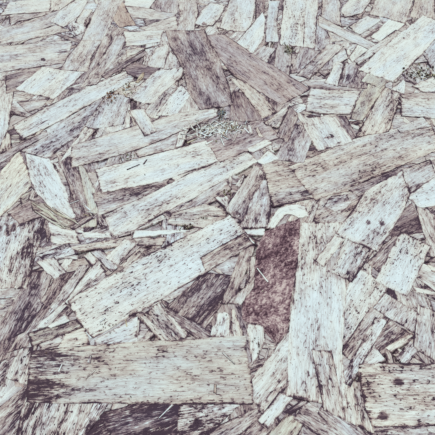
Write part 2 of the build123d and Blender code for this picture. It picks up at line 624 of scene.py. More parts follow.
class Mat:
    def __init__(self, spring):
        self.loose = np.zeros((int(2 * halfWidth), int(2 * halfLength)))
        self.spring = spring
        self.strands = []

    def cell(self, places):
        column = np.clip((places[..., 0] + halfLength).astype(int), 0, self.loose.shape[1] - 1)
        row = np.clip((places[..., 1] + halfWidth).astype(int), 0, self.loose.shape[0] - 1)
        return row, column

    def highestNear(self, field, row, column, reach):
        # the highest of the map around each place, so that nothing pokes through between cells
        rows, columns = field.shape
        found = field[row, column]
        steps = range(-reach, reach + 1, max(1, reach // 2))
        for down in steps:
            for over in steps:
                beside = field[np.clip(row + down, 0, rows - 1), np.clip(column + over, 0, columns - 1)]
                found = np.maximum(found, beside)
        return found

    def lay(self, left, right, finish, size, ragged=0.7, wavy=0.35, lifts=(0, 0), thick=None, follow=False,
            spots=(), piece="strands", stays=False, markStrength=1.0):
        strand = strandBlank(left, right, size, ragged, wavy)
        if strand is None:
            return
        grid, share, sway = strand["grid"], strand["share"], strand["sway"]
        fromEnds = (share * strand["length"], (1 - share) * strand["length"])

        # it rests on what is under it, and stays stiff over hollows
        thickness = thick or strandShape["thickness"] * draw.uniform(*strandShape["thicker"])
        row, column = self.cell(grid)
        lookRound = int(np.clip(round(size / matRules["reachPerCell"]), 1, matRules["widestReach"]))
        under = self.highestNear(self.loose, row, column, lookRound)
        cell = strand["length"] / (len(share) - 1)
        reach = max(1, round(matRules["stiffness"] / cell / 2))
        rests = smooth(smooth(under, reach, 0), reach, 0)
        cell = max(1.0, strand["width"] / (len(sway) - 1))
        rests = smooth(rests, max(1, round(matRules["stiffnessAcross"] / cell / 2)), 1)
        top = np.maximum(rests + thickness, under + matRules["clearance"])
        top = np.maximum(smooth(top, 1, 0), under + matRules["clearance"])
        top = top + draw.normal(0, strandShape["bumpy"], top.shape)
        top = top + draw.normal(0, strandShape["curl"]) * (2 * sway - 1)[None, :] ** 2
        for lift, far in zip(lifts, fromEnds):
            top = top + (lift * np.exp(-far / strandShape["liftReach"]))[:, None]
        if not stays:
            self.cover(self.loose, strand, top, matRules["clearance"])

        stain = np.zeros(top.shape)
        for spot in spots:
            offset = onSheet(spot["at"]) - strand["origin"]
            apart = np.hypot((strand["along"] - offset @ strand["way"]) / spot["long"],
                             (strand["across"] - offset @ strand["side"]) / spot["wide"])
            stain = np.maximum(stain, spot["dark"] * np.clip(matRules["spotEdge"] - apart, 0, 1))
        if stays:
            # a blade of grass has no dark outline
            strand["sideGap"] = strand["sideGap"] + noRim
            strand["endGap"] = strand["endGap"] + noRim
        uneven = strandShape["uneven" if size > viewRules["size"] else "unevenInView"]
        strand.update({"top": top, "thickness": thickness, "lookRound": lookRound, "finish": finish,
                       "piece": piece, "centre": grid.reshape(-1, 2).mean(0), "stays": stays,
                       "markStrength": markStrength, "stain": stain, "follow": follow,
                       "shift": draw.uniform(0, 400, 2), "uneven": draw.normal(0, uneven)})
        self.strands.append(strand)

    def cover(self, field, strand, top, clearance):
        # raises the map under a strand to the strand's own height
        grid = strand["grid"]
        alongCells, across = top.shape[0] - 1, top.shape[1] - 1
        x = np.linspace(0, alongCells, int(np.ptp(strand["along"]) / matRules["sample"]) + 2)
        y = np.linspace(0, across, int(np.ptp(strand["across"]) / matRules["sample"]) + 2)
        i = np.minimum(x.astype(int), alongCells - 1)
        j = np.minimum(y.astype(int), across - 1)
        fx, fy = (x - i)[:, None], y - j

        def between(values):
            rows = values[i] * (1 - fx) + values[i + 1] * fx
            return rows[:, j] * (1 - fy) + rows[:, j + 1] * fy

        row, column = self.cell(np.stack([between(grid[..., 0]), between(grid[..., 1])], -1))
        low = (row.min(), column.min())
        patch = field[low[0]:row.max() + 1, low[1]:column.max() + 1]
        height = np.full(patch.size, unknown)
        spots = (row - low[0]) * patch.shape[1] + column - low[1]
        np.maximum.at(height, spots.ravel(), between(top).ravel())
        height = height.reshape(patch.shape)
        covered = height > unknown
        patch[covered] = np.maximum(height, patch + clearance)[covered]

    def settle(self, highest=None):
        # after the last strand: the press evens the mat out, then each strand is laid once more
        # over those that are pressed already
        self.mean = blurred(self.loose, int(matRules["evenOut"] / 2)) + matRules["pressLevel"]
        self.around = blurred(self.loose, 2)
        self.face = np.full(self.loose.shape, unknown)
        for strand in self.strands:
            grid = strand["grid"]
            row, column = self.cell(grid)
            under = self.highestNear(self.face, row, column, strand["lookRound"])
            over = matRules["bladeOver"] if strand["stays"] else matRules["parted"]
            strand["height"] = np.maximum(self.pressed(grid, strand["top"]), under + over)
            if not strand["stays"]:
                bulge = matRules["coarse"] * strand["lookRound"]
                self.cover(self.face, strand, strand["height"] + bulge, 0.0)
        if highest:
            # a face that something rests on is pressed flatter
            top = max(strand["height"].max() for strand in self.strands)
            low = faceHeight - matRules["lying"] - matRules["deepest"]
            for strand in self.strands:
                strand["height"] = low + (strand["height"] - low) * (highest - low) / (top - low)

    def pressed(self, places, loose):
        row, column = self.cell(places)
        above = (loose - self.mean[row, column]) * matRules["pressed"]
        up = matRules["proud"] * np.tanh(above / matRules["proud"]) + self.spring * above
        down = matRules["deepest"] * np.tanh(above / matRules["deepest"])
        return faceHeight - matRules["lying"] + np.where(above > 0, up, down)

    def heightAt(self, place):
        place = np.array([place])
        row, column = self.cell(place)
        if self.face[row, column][0] > unknown:
            return self.face[row, column][0]
        return self.pressed(place, self.loose[row, column])[0]

    def hidden(self, strand):
        row, column = self.cell(strand["grid"])
        deep, share = matRules["buried"]
        covered = self.loose[row, column] > strand["top"] + deep
        return covered.mean() > share and strand["lookRound"] < matRules["widestReach"]

    def shaped(self, strand, upsideDown):
        # the arrays of one strand, pressed, as the joined mesh takes them
        pattern = strand["pattern"]
        i, j = pattern.i, pattern.j
        grid, level = strand["grid"], pattern.level
        top = strand["height"]
        flare = np.interp(level, [0, strandShape["shoulder"], 1],
                          [0, strandShape["shoulderFlare"], strandShape["flare"]])
        out = (strand["way"] * pattern.outAlong[:, None] + strand["side"] * pattern.outAcross[:, None])
        flat = grid[i, j] + out * flare[:, None]
        limit = np.array([halfLength, halfWidth]) - matRules["undersideInset"]
        flat = np.clip(flat, -limit, limit)
        height = top[i, j] - level * strand["thickness"]
        if upsideDown:
            places = np.stack([flat[:, 0], -flat[:, 1], faceHeight - height], -1)
        else:
            places = np.stack([flat[:, 0], flat[:, 1], height], -1)
        row, column = self.cell(grid)
        # darker in hollows below the strands around: dirt and painted shade
        recess = np.clip((self.around[row, column] - strand["top"]) * matRules["dirtAndShadeSlope"], 0, 1)
        dirtAndShade = recess[i, j] * (0.0 if strand["stays"] else 1.0)
        # a strand's side is darker with dirt and painted shade, and all of it is as dark as its rim
        least, more = matRules["sideDirtAndShade"]
        onSide = level > 0.05
        dirtAndShade = np.where(onSide, np.maximum(dirtAndShade, least + more * level), dirtAndShade)
        along, across = strand["along"], strand["across"]
        if strand["follow"]:
            # the grain of a bent strand follows its bend
            share, sway = np.linspace(0, 1, grid.shape[0]), np.linspace(-0.5, 0.5, grid.shape[1])
            along = np.repeat((share * np.ptp(along))[:, None], len(sway), 1)
            across = np.repeat((sway * np.ptp(across) * 0.5)[None, :], len(share), 0)
        grain = np.stack([along[i, j] + strand["shift"][0], across[i, j] + strand["shift"][1]], -1)
        rim = np.stack([strand["sideGap"][i, j], strand["endGap"][i, j]], -1)
        rim = np.where(onSide[:, None], 0, rim)
        looks = carriedLooks(strand["finish"], strand["uneven"], strand["stain"][i, j], dirtAndShade,
                             strand["markStrength"])
        return {"places": places, "corners": pattern.corners, "starts": pattern.starts, "grain": grain,
                "rim": rim, **looks}


def carriedLooks(name, uneven, stain, dirtAndShade, markStrength=1.0):
    # what each point of a strand carries for the shader
    finish = finishes[name]
    count = len(dirtAndShade)
    tones = np.empty((count, 4))
    tones[:, :3] = finish["tint"]
    tones[:, 3] = finish["base"] * math.exp(uneven)
    marks = np.stack([np.full(count, finish["contrast"] * markStrength), np.full(count, finish["streaky"]),
                      stain, dirtAndShade], -1)
    return {"tone": tones, "marks": marks, "specks": np.full(count, finish["specks"] * markStrength)}


def joined(name, parts, material, smoothUpTo=38.0):
    # many small parts as one mesh
    places = np.concatenate([part["places"] for part in parts]) * mm
    offsets = np.cumsum([0] + [len(part["places"]) for part in parts[:-1]])
    corners = np.concatenate([part["corners"] + offset for part, offset in zip(parts, offsets)])
    loops = np.cumsum([0] + [len(part["corners"]) for part in parts[:-1]])
    starts = np.concatenate([part["starts"] + offset for part, offset in zip(parts, loops)])
    mesh = bpy.data.meshes.new(name)
    mesh.vertices.add(len(places))
    mesh.vertices.foreach_set("co", places.astype(np.float32).ravel())
    mesh.loops.add(len(corners))
    mesh.loops.foreach_set("vertex_index", corners.astype(np.int32))
    mesh.polygons.add(len(starts))
    mesh.polygons.foreach_set("loop_start", starts.astype(np.int32))
    mesh.update(calc_edges=True)
    for key, kind in (("tone", "FLOAT_COLOR"), ("marks", "FLOAT_COLOR"), ("specks", "FLOAT")):
        if key in parts[0]:
            values = np.concatenate([part[key] for part in parts]).astype(np.float32)
            field = mesh.attributes.new(key, kind, "POINT")
            field.data.foreach_set("color" if kind == "FLOAT_COLOR" else "value", values.ravel())
    for key in ("grain", "rim"):
        if key in parts[0]:
            values = np.concatenate([part[key] for part in parts]).astype(np.float32) * mm
            layer = mesh.uv_layers.new(name=key)
            layer.uv.foreach_set("vector", values[corners].ravel())
    mesh.polygons.foreach_set("use_smooth", [True] * len(starts))
    piece = bpy.data.objects.new(name, mesh)
    bpy.context.scene.collection.objects.link(piece)
    piece.data.materials.append(material)
    nothingSelected()
    piece.select_set(True)
    bpy.context.view_layer.objects.active = piece
    bpy.ops.object.shade_smooth_by_angle(angle=math.radians(smoothUpTo))
    piece.select_set(False)
    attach(piece, "root")
    triangles = sum(len(polygon.vertices) - 2 for polygon in mesh.polygons)
    print(name, len(parts), "parts", triangles, "triangles")


# What the strands look like: how dark they are on the whole, how strong the marks on them
# are, whether these are streaks or mottles, how many dark specks, and the tint
def finishOf(base, contrast, streaky=0.5, specks=0.3, tint=(1, 1, 1)):
    return {"base": base, "contrast": contrast, "streaky": streaky, "specks": specks, "tint": tint}


warm, cool, green, rosy = (1.02, 1.0, 0.965), (0.985, 1.0, 1.03), (1.0, 1.02, 0.95), (1.015, 0.985, 0.985)
finishes = {
    "white": finishOf(0.09, 0.65, 0.5, 0.35),
    "mint": finishOf(0.138, 0.62, 0.5, 0.5),
    "mintGrey": finishOf(0.19, 0.58, 0.6, 0.4),
    "cream": finishOf(0.19, 0.70, 0.4, 0.6, warm),
    "lilac": finishOf(0.245, 0.72, 0.5, 0.6, cool),
    "coolLilac": finishOf(0.18, 0.62, 0.6, 0.4, (0.96, 1.0, 1.04)),
    "darkLilac": finishOf(0.33, 0.75, 0.3, 0.9, cool),
    "speckled": finishOf(0.26, 0.74, 0.2, 1.1),
    "darkSpeckled": finishOf(0.52, 1.0, 0.1, 1.2, cool),
    "mottled": finishOf(0.215, 0.98, 0.1, 0.9, cool),
    "coolMottle": finishOf(0.235, 0.62, 0.2, 0.7, (0.97, 1.0, 1.04)),
    "tan": finishOf(0.34, 0.56, 0.6, 0.5),
    "tanBrown": finishOf(0.40, 0.52, 0.5, 0.5, rosy),
    "brown": finishOf(0.48, 0.50, 0.6, 0.6),
    "darkBrown": finishOf(0.54, 0.54, 0.6, 0.5),
    "dark": finishOf(1.12, 0.44, 0.4, 0.0),
    "mouldy": finishOf(0.35, 1.0, 0.1, 1.2, cool),
    "bright": finishOf(0.06, 0.5, 0.5, 0.2, (1.0, 1.01, 1.01)),
    "olive": finishOf(0.28, 0.45, 0.8, 0.4, green),
    "darkOlive": finishOf(0.57, 0.52, 0.8, 0.4, green),
    "creamStreak": finishOf(0.222, 0.66, 0.7, 0.8, warm),
    "greyStreak": finishOf(0.25, 0.66, 0.7, 0.6),
    "creamOrange": finishOf(0.13, 0.85, 0.5, 0.3, (1.03, 1.0, 0.94)),
    "lilacBrown": finishOf(0.35, 0.62, 0.6, 0.5, cool),
    "tanStreak": finishOf(0.265, 0.54, 0.6, 0.7, warm),
    "brownStreak": finishOf(0.38, 0.38, 0.8, 0.5, rosy),
    "tanLilac": finishOf(0.165, 0.75, 0.7, 0.4),
    "mintBrown": finishOf(0.12, 0.60, 0.5, 0.9),
    "tanOrange": finishOf(0.38, 0.35, 0.5, 0.3, (1.06, 1.0, 0.92)),
    "darkStreak": finishOf(0.61, 0.32, 0.9, 0.4),
    "stainedEnd": finishOf(0.25, 0.34, 0.7, 0.5, (1.0, 1.01, 0.98)),
    "bark": finishOf(0.6, 0.2),
    "edgePale": finishOf(0.25, 0.5, 0.8, 0.3, warm),
    "edgeBrown": finishOf(0.42, 0.4, 0.8, 0.3, warm),
    "edgeDark": finishOf(0.60, 0.35, 0.8, 0.3, warm),
    "straw": finishOf(0.12, 0.5, 0.8, 0.0, warm),
    "paleStraw": finishOf(0.02, 0.4, 0.8, 0.0),
    "greenStraw": finishOf(0.36, 0.5, 0.8, 0.0, (1.0, 1.02, 0.86)),
    "darkStraw": finishOf(0.78, 0.1, 0.8, 0.0, (0.95, 1.02, 1.0)),
    "yellowLeaf": finishOf(0.25, 0.4, 0.5, 0.2, (1.08, 1.0, 0.75)),
}

# Finishes of the seeded strands, in the upper and the lower part of a mat: how often each comes up
upperShares = {"white": 11, "mint": 20, "cream": 10, "lilac": 12, "tan": 9, "brown": 6, "speckled": 7,
               "mottled": 7, "creamStreak": 8, "greyStreak": 8, "tanStreak": 7, "mintBrown": 6,
               "lilacBrown": 5, "brownStreak": 3, "olive": 2, "darkBrown": 2, "creamOrange": 2}
lowerShares = {"brown": 10, "darkBrown": 6, "tan": 12, "lilacBrown": 10, "brownStreak": 6,
               "greyStreak": 10, "dark": 2, "darkStreak": 3, "mottled": 9, "tanLilac": 6,
               "speckled": 9, "lilac": 9, "creamStreak": 6, "cream": 5}

# How the seeded strands are laid
layRules = {
    "length": 115.0,
    "lengthSpread": 0.20,
    "width": (9.0, 36.0, 20.0),     # least, most and commonest
    "shortShare": 0.42,      # of the strands are broken
    "short": (0.25, 0.75),   # share of its length and width that a broken one still has
    "narrow": (0.5, 1.0),
    "alongShare": 0.68,      # of the strands lie near the sheet's length
    "alongSpread": 27.0,     # degrees
    "skew": 0.12,            # of the ends, in widths
    "taper": 0.35,
    "narrowestEnd": 0.2,
    "wavy": 0.5,
    "faceStrands": (850, 1900),     # in the lower and the upper part of the mat
    "backStrands": (350, 1300),
    "size": 13.0,            # cells, where the camera doesn't come close
    "sizeInView": 4.6,
    "leastInside": 0.05,     # a side with less of it inside the sheet is moved whole
    "shortestSide": 4.0,
}


def inView(place):
    right, away = place @ pictureRight, place @ pictureAway
    return viewRules["nearSide"] < away < viewRules["farSide"] and abs(right) < halfPatch(away)


def anyOf(shares):
    # a name, drawn by how often each comes up
    return dice.choices(list(shares), list(shares.values()))[0]


def stripSides(centre, angle, length, width, leans=(0, 0, 0, 0), thins=(1, 1)):
    # the left and right side of a straight strip, whose ends may lean and be narrower
    way = np.array([math.cos(angle), math.sin(angle)])
    side = np.array([-way[1], way[0]])
    return [[centre + way * (end + lean) + side * half * thin
             for end, lean, thin in zip((-length / 2, length / 2), part, thins)]
            for half, part in ((width / 2, leans[:2]), (-width / 2, leans[2:]))]


def scatterStrands(mat, count, shares, closeUp):
    # a jittered grid, taken in a mixed order, so that the cover is even
    across = math.ceil(math.sqrt(count * halfWidth / halfLength))
    along = math.ceil(count / across)
    places = [(i, j) for i in range(along) for j in range(across)]
    dice.shuffle(places)
    for i, j in places:
        centre = np.array([((i + dice.random()) / along * 2 - 1) * halfLength,
                           ((j + dice.random()) / across * 2 - 1) * halfWidth])
        if dice.random() < layRules["alongShare"]:
            angle = dice.gauss(0, layRules["alongSpread"])
        else:
            angle = dice.uniform(-90, 90)
        length = layRules["length"] * (1 - layRules["lengthSpread"] * dice.random())
        width = dice.triangular(*layRules["width"])
        if dice.random() < layRules["shortShare"]:
            length *= dice.uniform(*layRules["short"])
            width *= dice.uniform(*layRules["narrow"])
        leans = [dice.gauss(0, layRules["skew"]) * width for _ in range(4)]
        thins = [1 - 0.5 * max(0, dice.gauss(0, layRules["taper"])) for _ in range(2)]
        thins = [max(layRules["narrowestEnd"], thin) for thin in thins]
        left, right = map(clipped, stripSides(centre, math.radians(angle), length, width, leans, thins))
        if left and right:
            size = layRules["sizeInView" if closeUp and inView(centre) else "size"]
            mat.lay(left, right, anyOf(shares), size, wavy=layRules["wavy"])


def clipped(line):
    # the part of a side inside the sheet; a side that is outside is moved onto the rim
    limit = np.array([halfLength, halfWidth]) - matRules["inset"]
    start, end = line
    low, high = 0.0, 1.0
    for n in (0, 1):
        run = end[n] - start[n]
        for edge in (-limit[n], limit[n]):
            if abs(run) > 1e-9:
                meets = (edge - start[n]) / run
                if 0 < meets < 1:
                    beyond = abs(start[n]) > limit[n] and np.sign(start[n]) == np.sign(edge)
                    if beyond:
                        low = max(low, meets)
                    elif abs(end[n]) > limit[n] and np.sign(end[n]) == np.sign(edge):
                        high = min(high, meets)
    if high - low < layRules["leastInside"]:
        low, high = 0.0, 1.0
    first, last = start + (end - start) * low, start + (end - start) * high
    first, last = np.clip(first, -limit, limit), np.clip(last, -limit, limit)
    if np.hypot(*(last - first)) < layRules["shortestSide"]:
        return None
    return [first, last]


# The strands in view, lowest first: finish, left side, right side. Points run along
# the grain, right and away of the picture's middle.
viewStrands = [
    # near left
    ("brown", [(-116, -125), (-98, -106)], [(-108, -135), (-95, -119)]),
    ("darkLilac", [(-122, -104), (-107, -86)], [(-114, -110), (-103, -92)]),
    ("brown", [(-108, -131), (-98, -119)], [(-102, -136), (-96, -125)]),
    ("dark", [(-74, -132), (-30, -110)], [(-52, -152), (2, -128)]),
    ("dark", [(-60, -122), (-20, -112)], [(-50, -134), (-8, -124)]),
    ("speckled", [(-99, -134), (-98.5, -112)], [(-70, -134), (-61, -112)]),
    ("darkSpeckled", [(-69.5, -133), (-61, -114)], [(-65, -133), (-53.5, -114)]),
    ("speckled", [(-112, -104), (-107.5, -88)], [(-99.5, -108), (-100.5, -87)]),
    ("darkBrown", [(-130, -100), (-113, -40)], [(-108, -92), (-98, -40)]),
    ("brown", [(-114, -92), (-96, -42)], [(-104, -88), (-86, -40)]),
    ("lilac", [(-106, -84), (-84, -36)], [(-94, -72), (-77, -35)]),
    ("lilacBrown", [(-113, -82), (-104, -60)], [(-108, -80), (-100, -62)]),
    ("white", [(-91, -64), (-74, -32.5)], [(-84, -62), (-67.5, -40.5)]),
    ("lilacBrown", [(-85, -58), (-69, -41)], [(-79, -58), (-65, -44)]),
    ("mint", [(-102.5, -77), (-89, -60)], [(-95, -76), (-84, -65)]),
    ("brown", [(-93.5, -74), (-87, -63)], [(-90, -75), (-83, -67)]),
    ("olive", [(-105.5, -80), (-80, -71)], [(-101, -87.5), (-76, -76)]),
    ("mint", [(-98, -86.5), (-85, -80)], [(-96, -90), (-87, -90)]),
    ("cream", [(-83.5, -80), (-74, -76)], [(-88, -90), (-68.5, -89)]),
    ("white", [(-94.5, -75.5), (-87, -67)], [(-93, -76.5), (-83.5, -71.5)]),
    ("mint", [(-68, -83), (-45, -69.5)], [(-68, -90), (-44.5, -88)]),
    ("brown", [(-34, -58), (-3, -76)], [(-24, -74), (-4, -88)]),
    ("lilacBrown", [(-44, -72), (-39, -77)], [(-43.7, -85), (-39.5, -80)]),
    ("creamStreak", [(-34.5, -60.5), (-15, -81.5)], [(-44.5, -69.5), (-29, -87)]),
    ("darkBrown", [(-29.5, -63.5), (-8, -41)], [(-6.5, -77.5), (14, -44)]),
    ("brown", [(2, -62), (16, -22)], [(9, -62), (24, -22)]),
    # near right
    ("mouldy", [(-20, -117), (14, -116)], [(-20, -136), (0, -128)]),
    ("brown", [(8, -134), (20, -125)], [(16, -139), (25, -131)]),
    ("olive", [(22, -134), (36, -121.5)], [(34, -140), (42, -128)]),
    ("lilacBrown", [(45, -116), (76, -133)], [(38, -124), (58, -138)]),
    ("lilacBrown", [(53, -117), (78, -134)], [(50, -122), (66, -137)]),
    ("brown", [(34, -121), (43, -115.5)], [(37, -122.5), (46, -117)]),
    ("mint", [(12, -112), (40, -78)], [(24, -121), (52, -92)]),
    ("tan", [(-6, -131), (20, -118.5)], [(2, -137), (23.5, -123)]),
    ("white", [(19.5, -125.5), (32, -111)], [(24.5, -130), (38.5, -115)]),
    ("white", [(-4, -82), (0.5, -67)], [(7, -83), (7, -68)]),
    ("cream", [(7, -83), (7.5, -66)], [(15, -83), (9, -65)]),
    ("darkLilac", [(72, -128), (104, -128)], [(76, -138), (104, -138)]),
    ("creamStreak", [(63.5, -125), (64.5, -106)], [(77, -131), (77, -104)]),
    ("mintBrown", [(60, -85), (84, -38)], [(69, -87), (103, -50)]),
    ("tan", [(67, -90), (88, -64)], [(72, -96), (98, -72)]),
    ("darkBrown", [(84, -86), (98, -72)], [(88, -92), (108, -80)]),
    ("lilac", [(76, -96), (86, -87)], [(80, -99), (91, -94)]),
    ("darkLilac", [(97, -93), (106, -84)], [(101, -98), (111, -88)]),
    ("cream", [(92, -88), (108, -79)], [(94, -90.5), (110, -82)]),
    ("mottled", [(64, -106), (90, -70)], [(69.5, -108), (96, -72)]),
    ("lilac", [(90, -65), (99, -55)], [(109, -80), (118, -70)]),
    ("greyStreak", [(107, -87), (116, -62)], [(118, -96), (126, -68)]),
    ("creamStreak", [(75, -97), (190, -95)], [(76, -128), (190, -128)]),
    # middle left
    ("speckled", [(-142, -52), (-146, 2)], [(-112.5, -52), (-112.5, 1)]),
    ("mottled", [(-112, -29), (-94, -20)], [(-105, -34), (-86, -28)]),
    ("mint", [(-112, -34), (-98, -46)], [(-101, -30), (-91, -42)]),
    ("tanBrown", [(-140, 4), (-110, 26)], [(-130, -5), (-103, 4)]),
    ("darkOlive", [(-126, 15), (-108, 9), (-91, -3)], [(-123, 6), (-107, -3), (-96, -10)]),
    ("creamOrange", [(-168, -6), (-146, 62)], [(-143, 0), (-127.5, 28)]),
    ("mint", [(-111, -2), (-97, -10.5), (-91, -11)], [(-106, -19), (-100, -21), (-86.5, -20.5)]),
    ("brown", [(-118, 57), (-103, 26), (-94, -3)], [(-107, 54), (-90, 26), (-82, 2)]),
    ("olive", [(-101, 49), (-84, 0)], [(-94, 44), (-80, 14), (-80, 4)]),
    ("white", [(-142, 59.5), (-127, 24), (-112, 8), (-95, -2)],
              [(-122, 53), (-104.5, 25), (-98, 9), (-91, -1)]),
    ("olive", [(-89, -8.5), (-88, -1)], [(-78.5, -7), (-79, -1)]),
    ("tan", [(-96, -9.5), (-85, 3)], [(-92.5, -10), (-81, -1)]),
    ("creamStreak", [(-92, -23), (-54, -14)], [(-88, -27), (-50, -20)]),
    ("tanStreak", [(-52, -16), (-32, -15)], [(-50, -22.5), (-34, -22)]),
    ("tanStreak", [(-60, -37), (-48, -22)], [(-54, -38), (-43, -24)]),
    ("white", [(-86.5, -12.3), (-68, -11.8)], [(-86, -16), (-68, -16.5)]),
    ("bright", [(-54, -10.2), (-17, -9.8)], [(-54, -16.2), (-17, -11.2)]),
    ("bright", [(14, -9.2), (30, -9.0)], [(14, -13.8), (30, -13.6)]),
    ("mint", [(-79.5, -27), (-73, -34)], [(-84, -29), (-77, -37)]),
    ("lilac", [(-72, -24.5), (-61.5, -37.5)], [(-79, -26.3), (-64.5, -40.8)]),
    ("mint", [(-69.5, -31.5), (-59, -17)], [(-61, -36.5), (-50.5, -20.5)]),
    ("tan", [(-86, 20), (-30, 38)], [(-78, 2), (-40, 18)]),
    # middle
    ("tan", [(-28, 5), (4, 34)], [(-14, 4), (10, 24)]),
    ("creamStreak", [(-32, 3), (-8, 11.5), (8, 6)], [(-32, -6), (-8, -9), (3, -5)]),
    ("white", [(-2.5, 17.5), (7, 5.5)], [(6.5, 18), (9.5, 8)]),
    ("tan", [(5, 6), (28, 48)], [(18, -6), (34, 36)]),
    ("lilac", [(14, -9), (22, 14), (32, 33)], [(33, -9), (36, 12), (34, 31)]),
    ("tanStreak", [(31, 51), (90, 66)], [(37, 8.5), (90, 22)]),
    ("mint", [(-76, 2), (-42, 22.7), (0.8, 51), (19.5, 62.5)],
             [(-67.5, -15), (-54, -10.5), (-20, 13.5), (16, 40.4), (30, 50)]),
    ("white", [(-88, 42), (-50, 55.4), (-6.7, 71.5)], [(-80, 20.4), (-40, 30.5), (1, 50)]),
    ("tanStreak", [(62, -3), (70, 17), (98, 24)], [(64, -5), (84, -5), (99, 17)]),
    ("lilac", [(71, 9), (77, 18), (88, 19.5)], [(72, 8), (81, 2.5), (89.5, 12)]),
    ("darkBrown", [(88, 25), (134, 46)], [(96, 18), (130, 34)]),
    ("darkStreak", [(110, -6), (131, 13)], [(111, -20), (135, -16)]),
    ("greyStreak", [(132.5, -30), (132.5, 10)], [(146, -30), (143, 2)]),
    ("greyStreak", [(112.5, -16), (132.5, -11)], [(114.5, -20.5), (132.5, -16)]),
    ("greyStreak", [(131, 42), (154, 52)], [(131, 19), (154, 36)]),
    ("white", [(128, 18), (162, 42)], [(134, 8), (168, 14)]),
    ("darkBrown", [(91, -35), (114, -13)], [(97, -42), (120, -20)]),
    ("mintBrown", [(93.5, -47), (118, -10)], [(110.5, -57.5), (135, -22)]),
    ("mint", [(35, -113), (38, -90), (46.5, -44), (54.5, -4)],
             [(66, -119), (68, -90), (77, -48), (81, -4)]),
    ("greyStreak", [(51.3, -90), (53, -120)], [(62.6, -90), (64, -125)]),
    ("speckled", [(69, -40.5), (81.5, -16)], [(80.5, -47.5), (98, -26)]),
    ("mint", [(59.3, -34), (75.5, -13.5)], [(64.6, -37.5), (80.3, -18)]),
    ("mint", [(75.5, -12.5), (100.4, 21), (131, 41)], [(99.5, -26.5), (121, 1), (131, 19)]),
    ("tanStreak", [(50.8, 44.5), (100, 71.5), (164, 93)], [(66, 13.8), (110, 34.6), (164, 62)]),
    ("bark", [(31, -11), (25, -24), (22.5, -40), (15, -60), (14, -72), (25, -78), (31, -85)],
             [(54, -1), (51, -22), (46.8, -44), (42.5, -62), (40.8, -72), (39, -79), (34, -85)]),
    ("white", [(15.5, -73), (17, -85), (18, -98)], [(25.5, -75), (26.5, -84.5), (19, -98)]),
    ("tan", [(5, -61.5), (18, -50), (20.5, -30)], [(13, -63.5), (22, -51), (23, -30)]),
    ("bright", [(31.5, -9), (35.4, 0.4), (40, 7.3), (46, 10.3), (53, 11.2), (59.5, 10)],
              [(37.5, -9), (41, -3), (45.5, 2), (50, 1.5), (53.5, -1.2), (60, 0.5)]),
    ("mintBrown", [(-87, -60), (-48, -31), (8.5, 2)], [(-69.5, -83), (-34, -60), (23, -20)]),
    ("tan", [(-11, -30.5), (17, -12)], [(-7, -41), (23, -20.5)]),
    ("stainedEnd", [(-101, -89.5), (-44, -84.7), (15.3, -81.6)],
                   [(-98, -116.7), (-54, -117.3), (18.7, -117.8)]),
    # far left
    ("tanLilac", [(-184, 142), (-166, 58)], [(-168, 140), (-157, 62)]),
    ("brown", [(-180, 150), (-151, 161)], [(-172, 124), (-158, 132)]),
    ("cream", [(-160, 80), (-162, 56)], [(-156.5, 78), (-150.5, 61)]),
    ("tan", [(-161, 114), (-136, 118.5)], [(-149, 102), (-140, 109)]),
    ("coolMottle", [(-150, 62), (-94, 124)], [(-124, 52), (-86, 100)]),
    ("coolMottle", [(-104, 82), (-90, 126)], [(-72, 88), (-70, 122)]),
    ("lilacBrown", [(-162, 52), (-131, 82)], [(-157, 47), (-128, 77)]),
    ("mint", [(-158, 88.5), (-136, 109), (-100, 137), (-74, 157)], [(-146, 72.5), (-118, 96), (-70, 142)]),
    ("white", [(-166, 129.5), (-150, 161)], [(-132.5, 117.5), (-118, 140), (-112, 153)]),
    ("mint", [(-114, 48), (-101.5, 87)], [(-107, 56), (-92, 82)]),
    ("mintGrey", [(-60, 60), (-22, 84)], [(-58, 53), (-26, 64)]),
    ("white", [(-32, 63), (-29.5, 80)], [(-25.5, 64), (-22, 83)]),
    ("creamStreak", [(-60, 98), (-40, 142)], [(-46, 96), (-32, 132)]),
    ("mintGrey", [(-32, 98), (-26, 126)], [(-12, 104), (-18, 122)]),
    ("mintBrown", [(-48.5, 98), (-38, 122), (-29, 137)], [(-31, 97), (-22, 124)]),
    ("mintGrey", [(-108, 66), (-62, 88), (-28, 101), (-3, 106)],
                 [(-104, 44), (-58, 61.5), (-22.5, 83), (0, 97)]),
    ("mint", [(-69, 104), (-55, 75.5)], [(-58, 106), (-46, 81)]),
    ("mintGrey", [(-205, 188), (-170, 195), (-132, 199)], [(-195, 150), (-152, 160.5), (-131, 166)]),
    ("mintGrey", [(-205, 214), (-150, 252)], [(-195, 194), (-138, 232)]),
    ("mintGrey", [(-200, 200), (-150, 222)], [(-196, 192), (-136, 214)]),
    ("greyStreak", [(-200, 240), (-168, 252)], [(-196, 226), (-164, 240)]),
    ("mint", [(-206, 262), (-166, 272)], [(-208, 240), (-162, 246)]),
    ("creamStreak", [(-166, 272), (-161, 246)], [(-142, 272), (-151, 250)]),
    ("mint", [(-158, 228), (-152, 250), (-140, 270)], [(-143, 219), (-131, 240), (-129, 266)]),
    ("cream", [(-135, 228), (-130, 250)], [(-126, 226), (-121, 249)]),
    ("mintGrey", [(-125, 196), (-121, 225), (-117, 270)], [(-104, 198), (-100, 225), (-92, 270)]),
    ("greyStreak", [(-135, 155), (-131, 178), (-124, 199)], [(-110, 152.5), (-110, 175), (-105, 198)]),
    ("tan", [(-112, 140), (-104, 204)], [(-105, 140), (-96, 204)]),
    ("greyStreak", [(-113, 132), (-100, 178), (-93, 206)], [(-100, 136), (-89, 175), (-80, 203)]),
    ("white", [(-92, 272), (-60, 272)], [(-92, 256), (-66, 250)]),
    ("mintGrey", [(-94, 256), (-40, 246)], [(-84, 236), (-40, 230)]),
    ("mintGrey", [(-74, 218), (-40, 240)], [(-58, 208), (-36, 216)]),
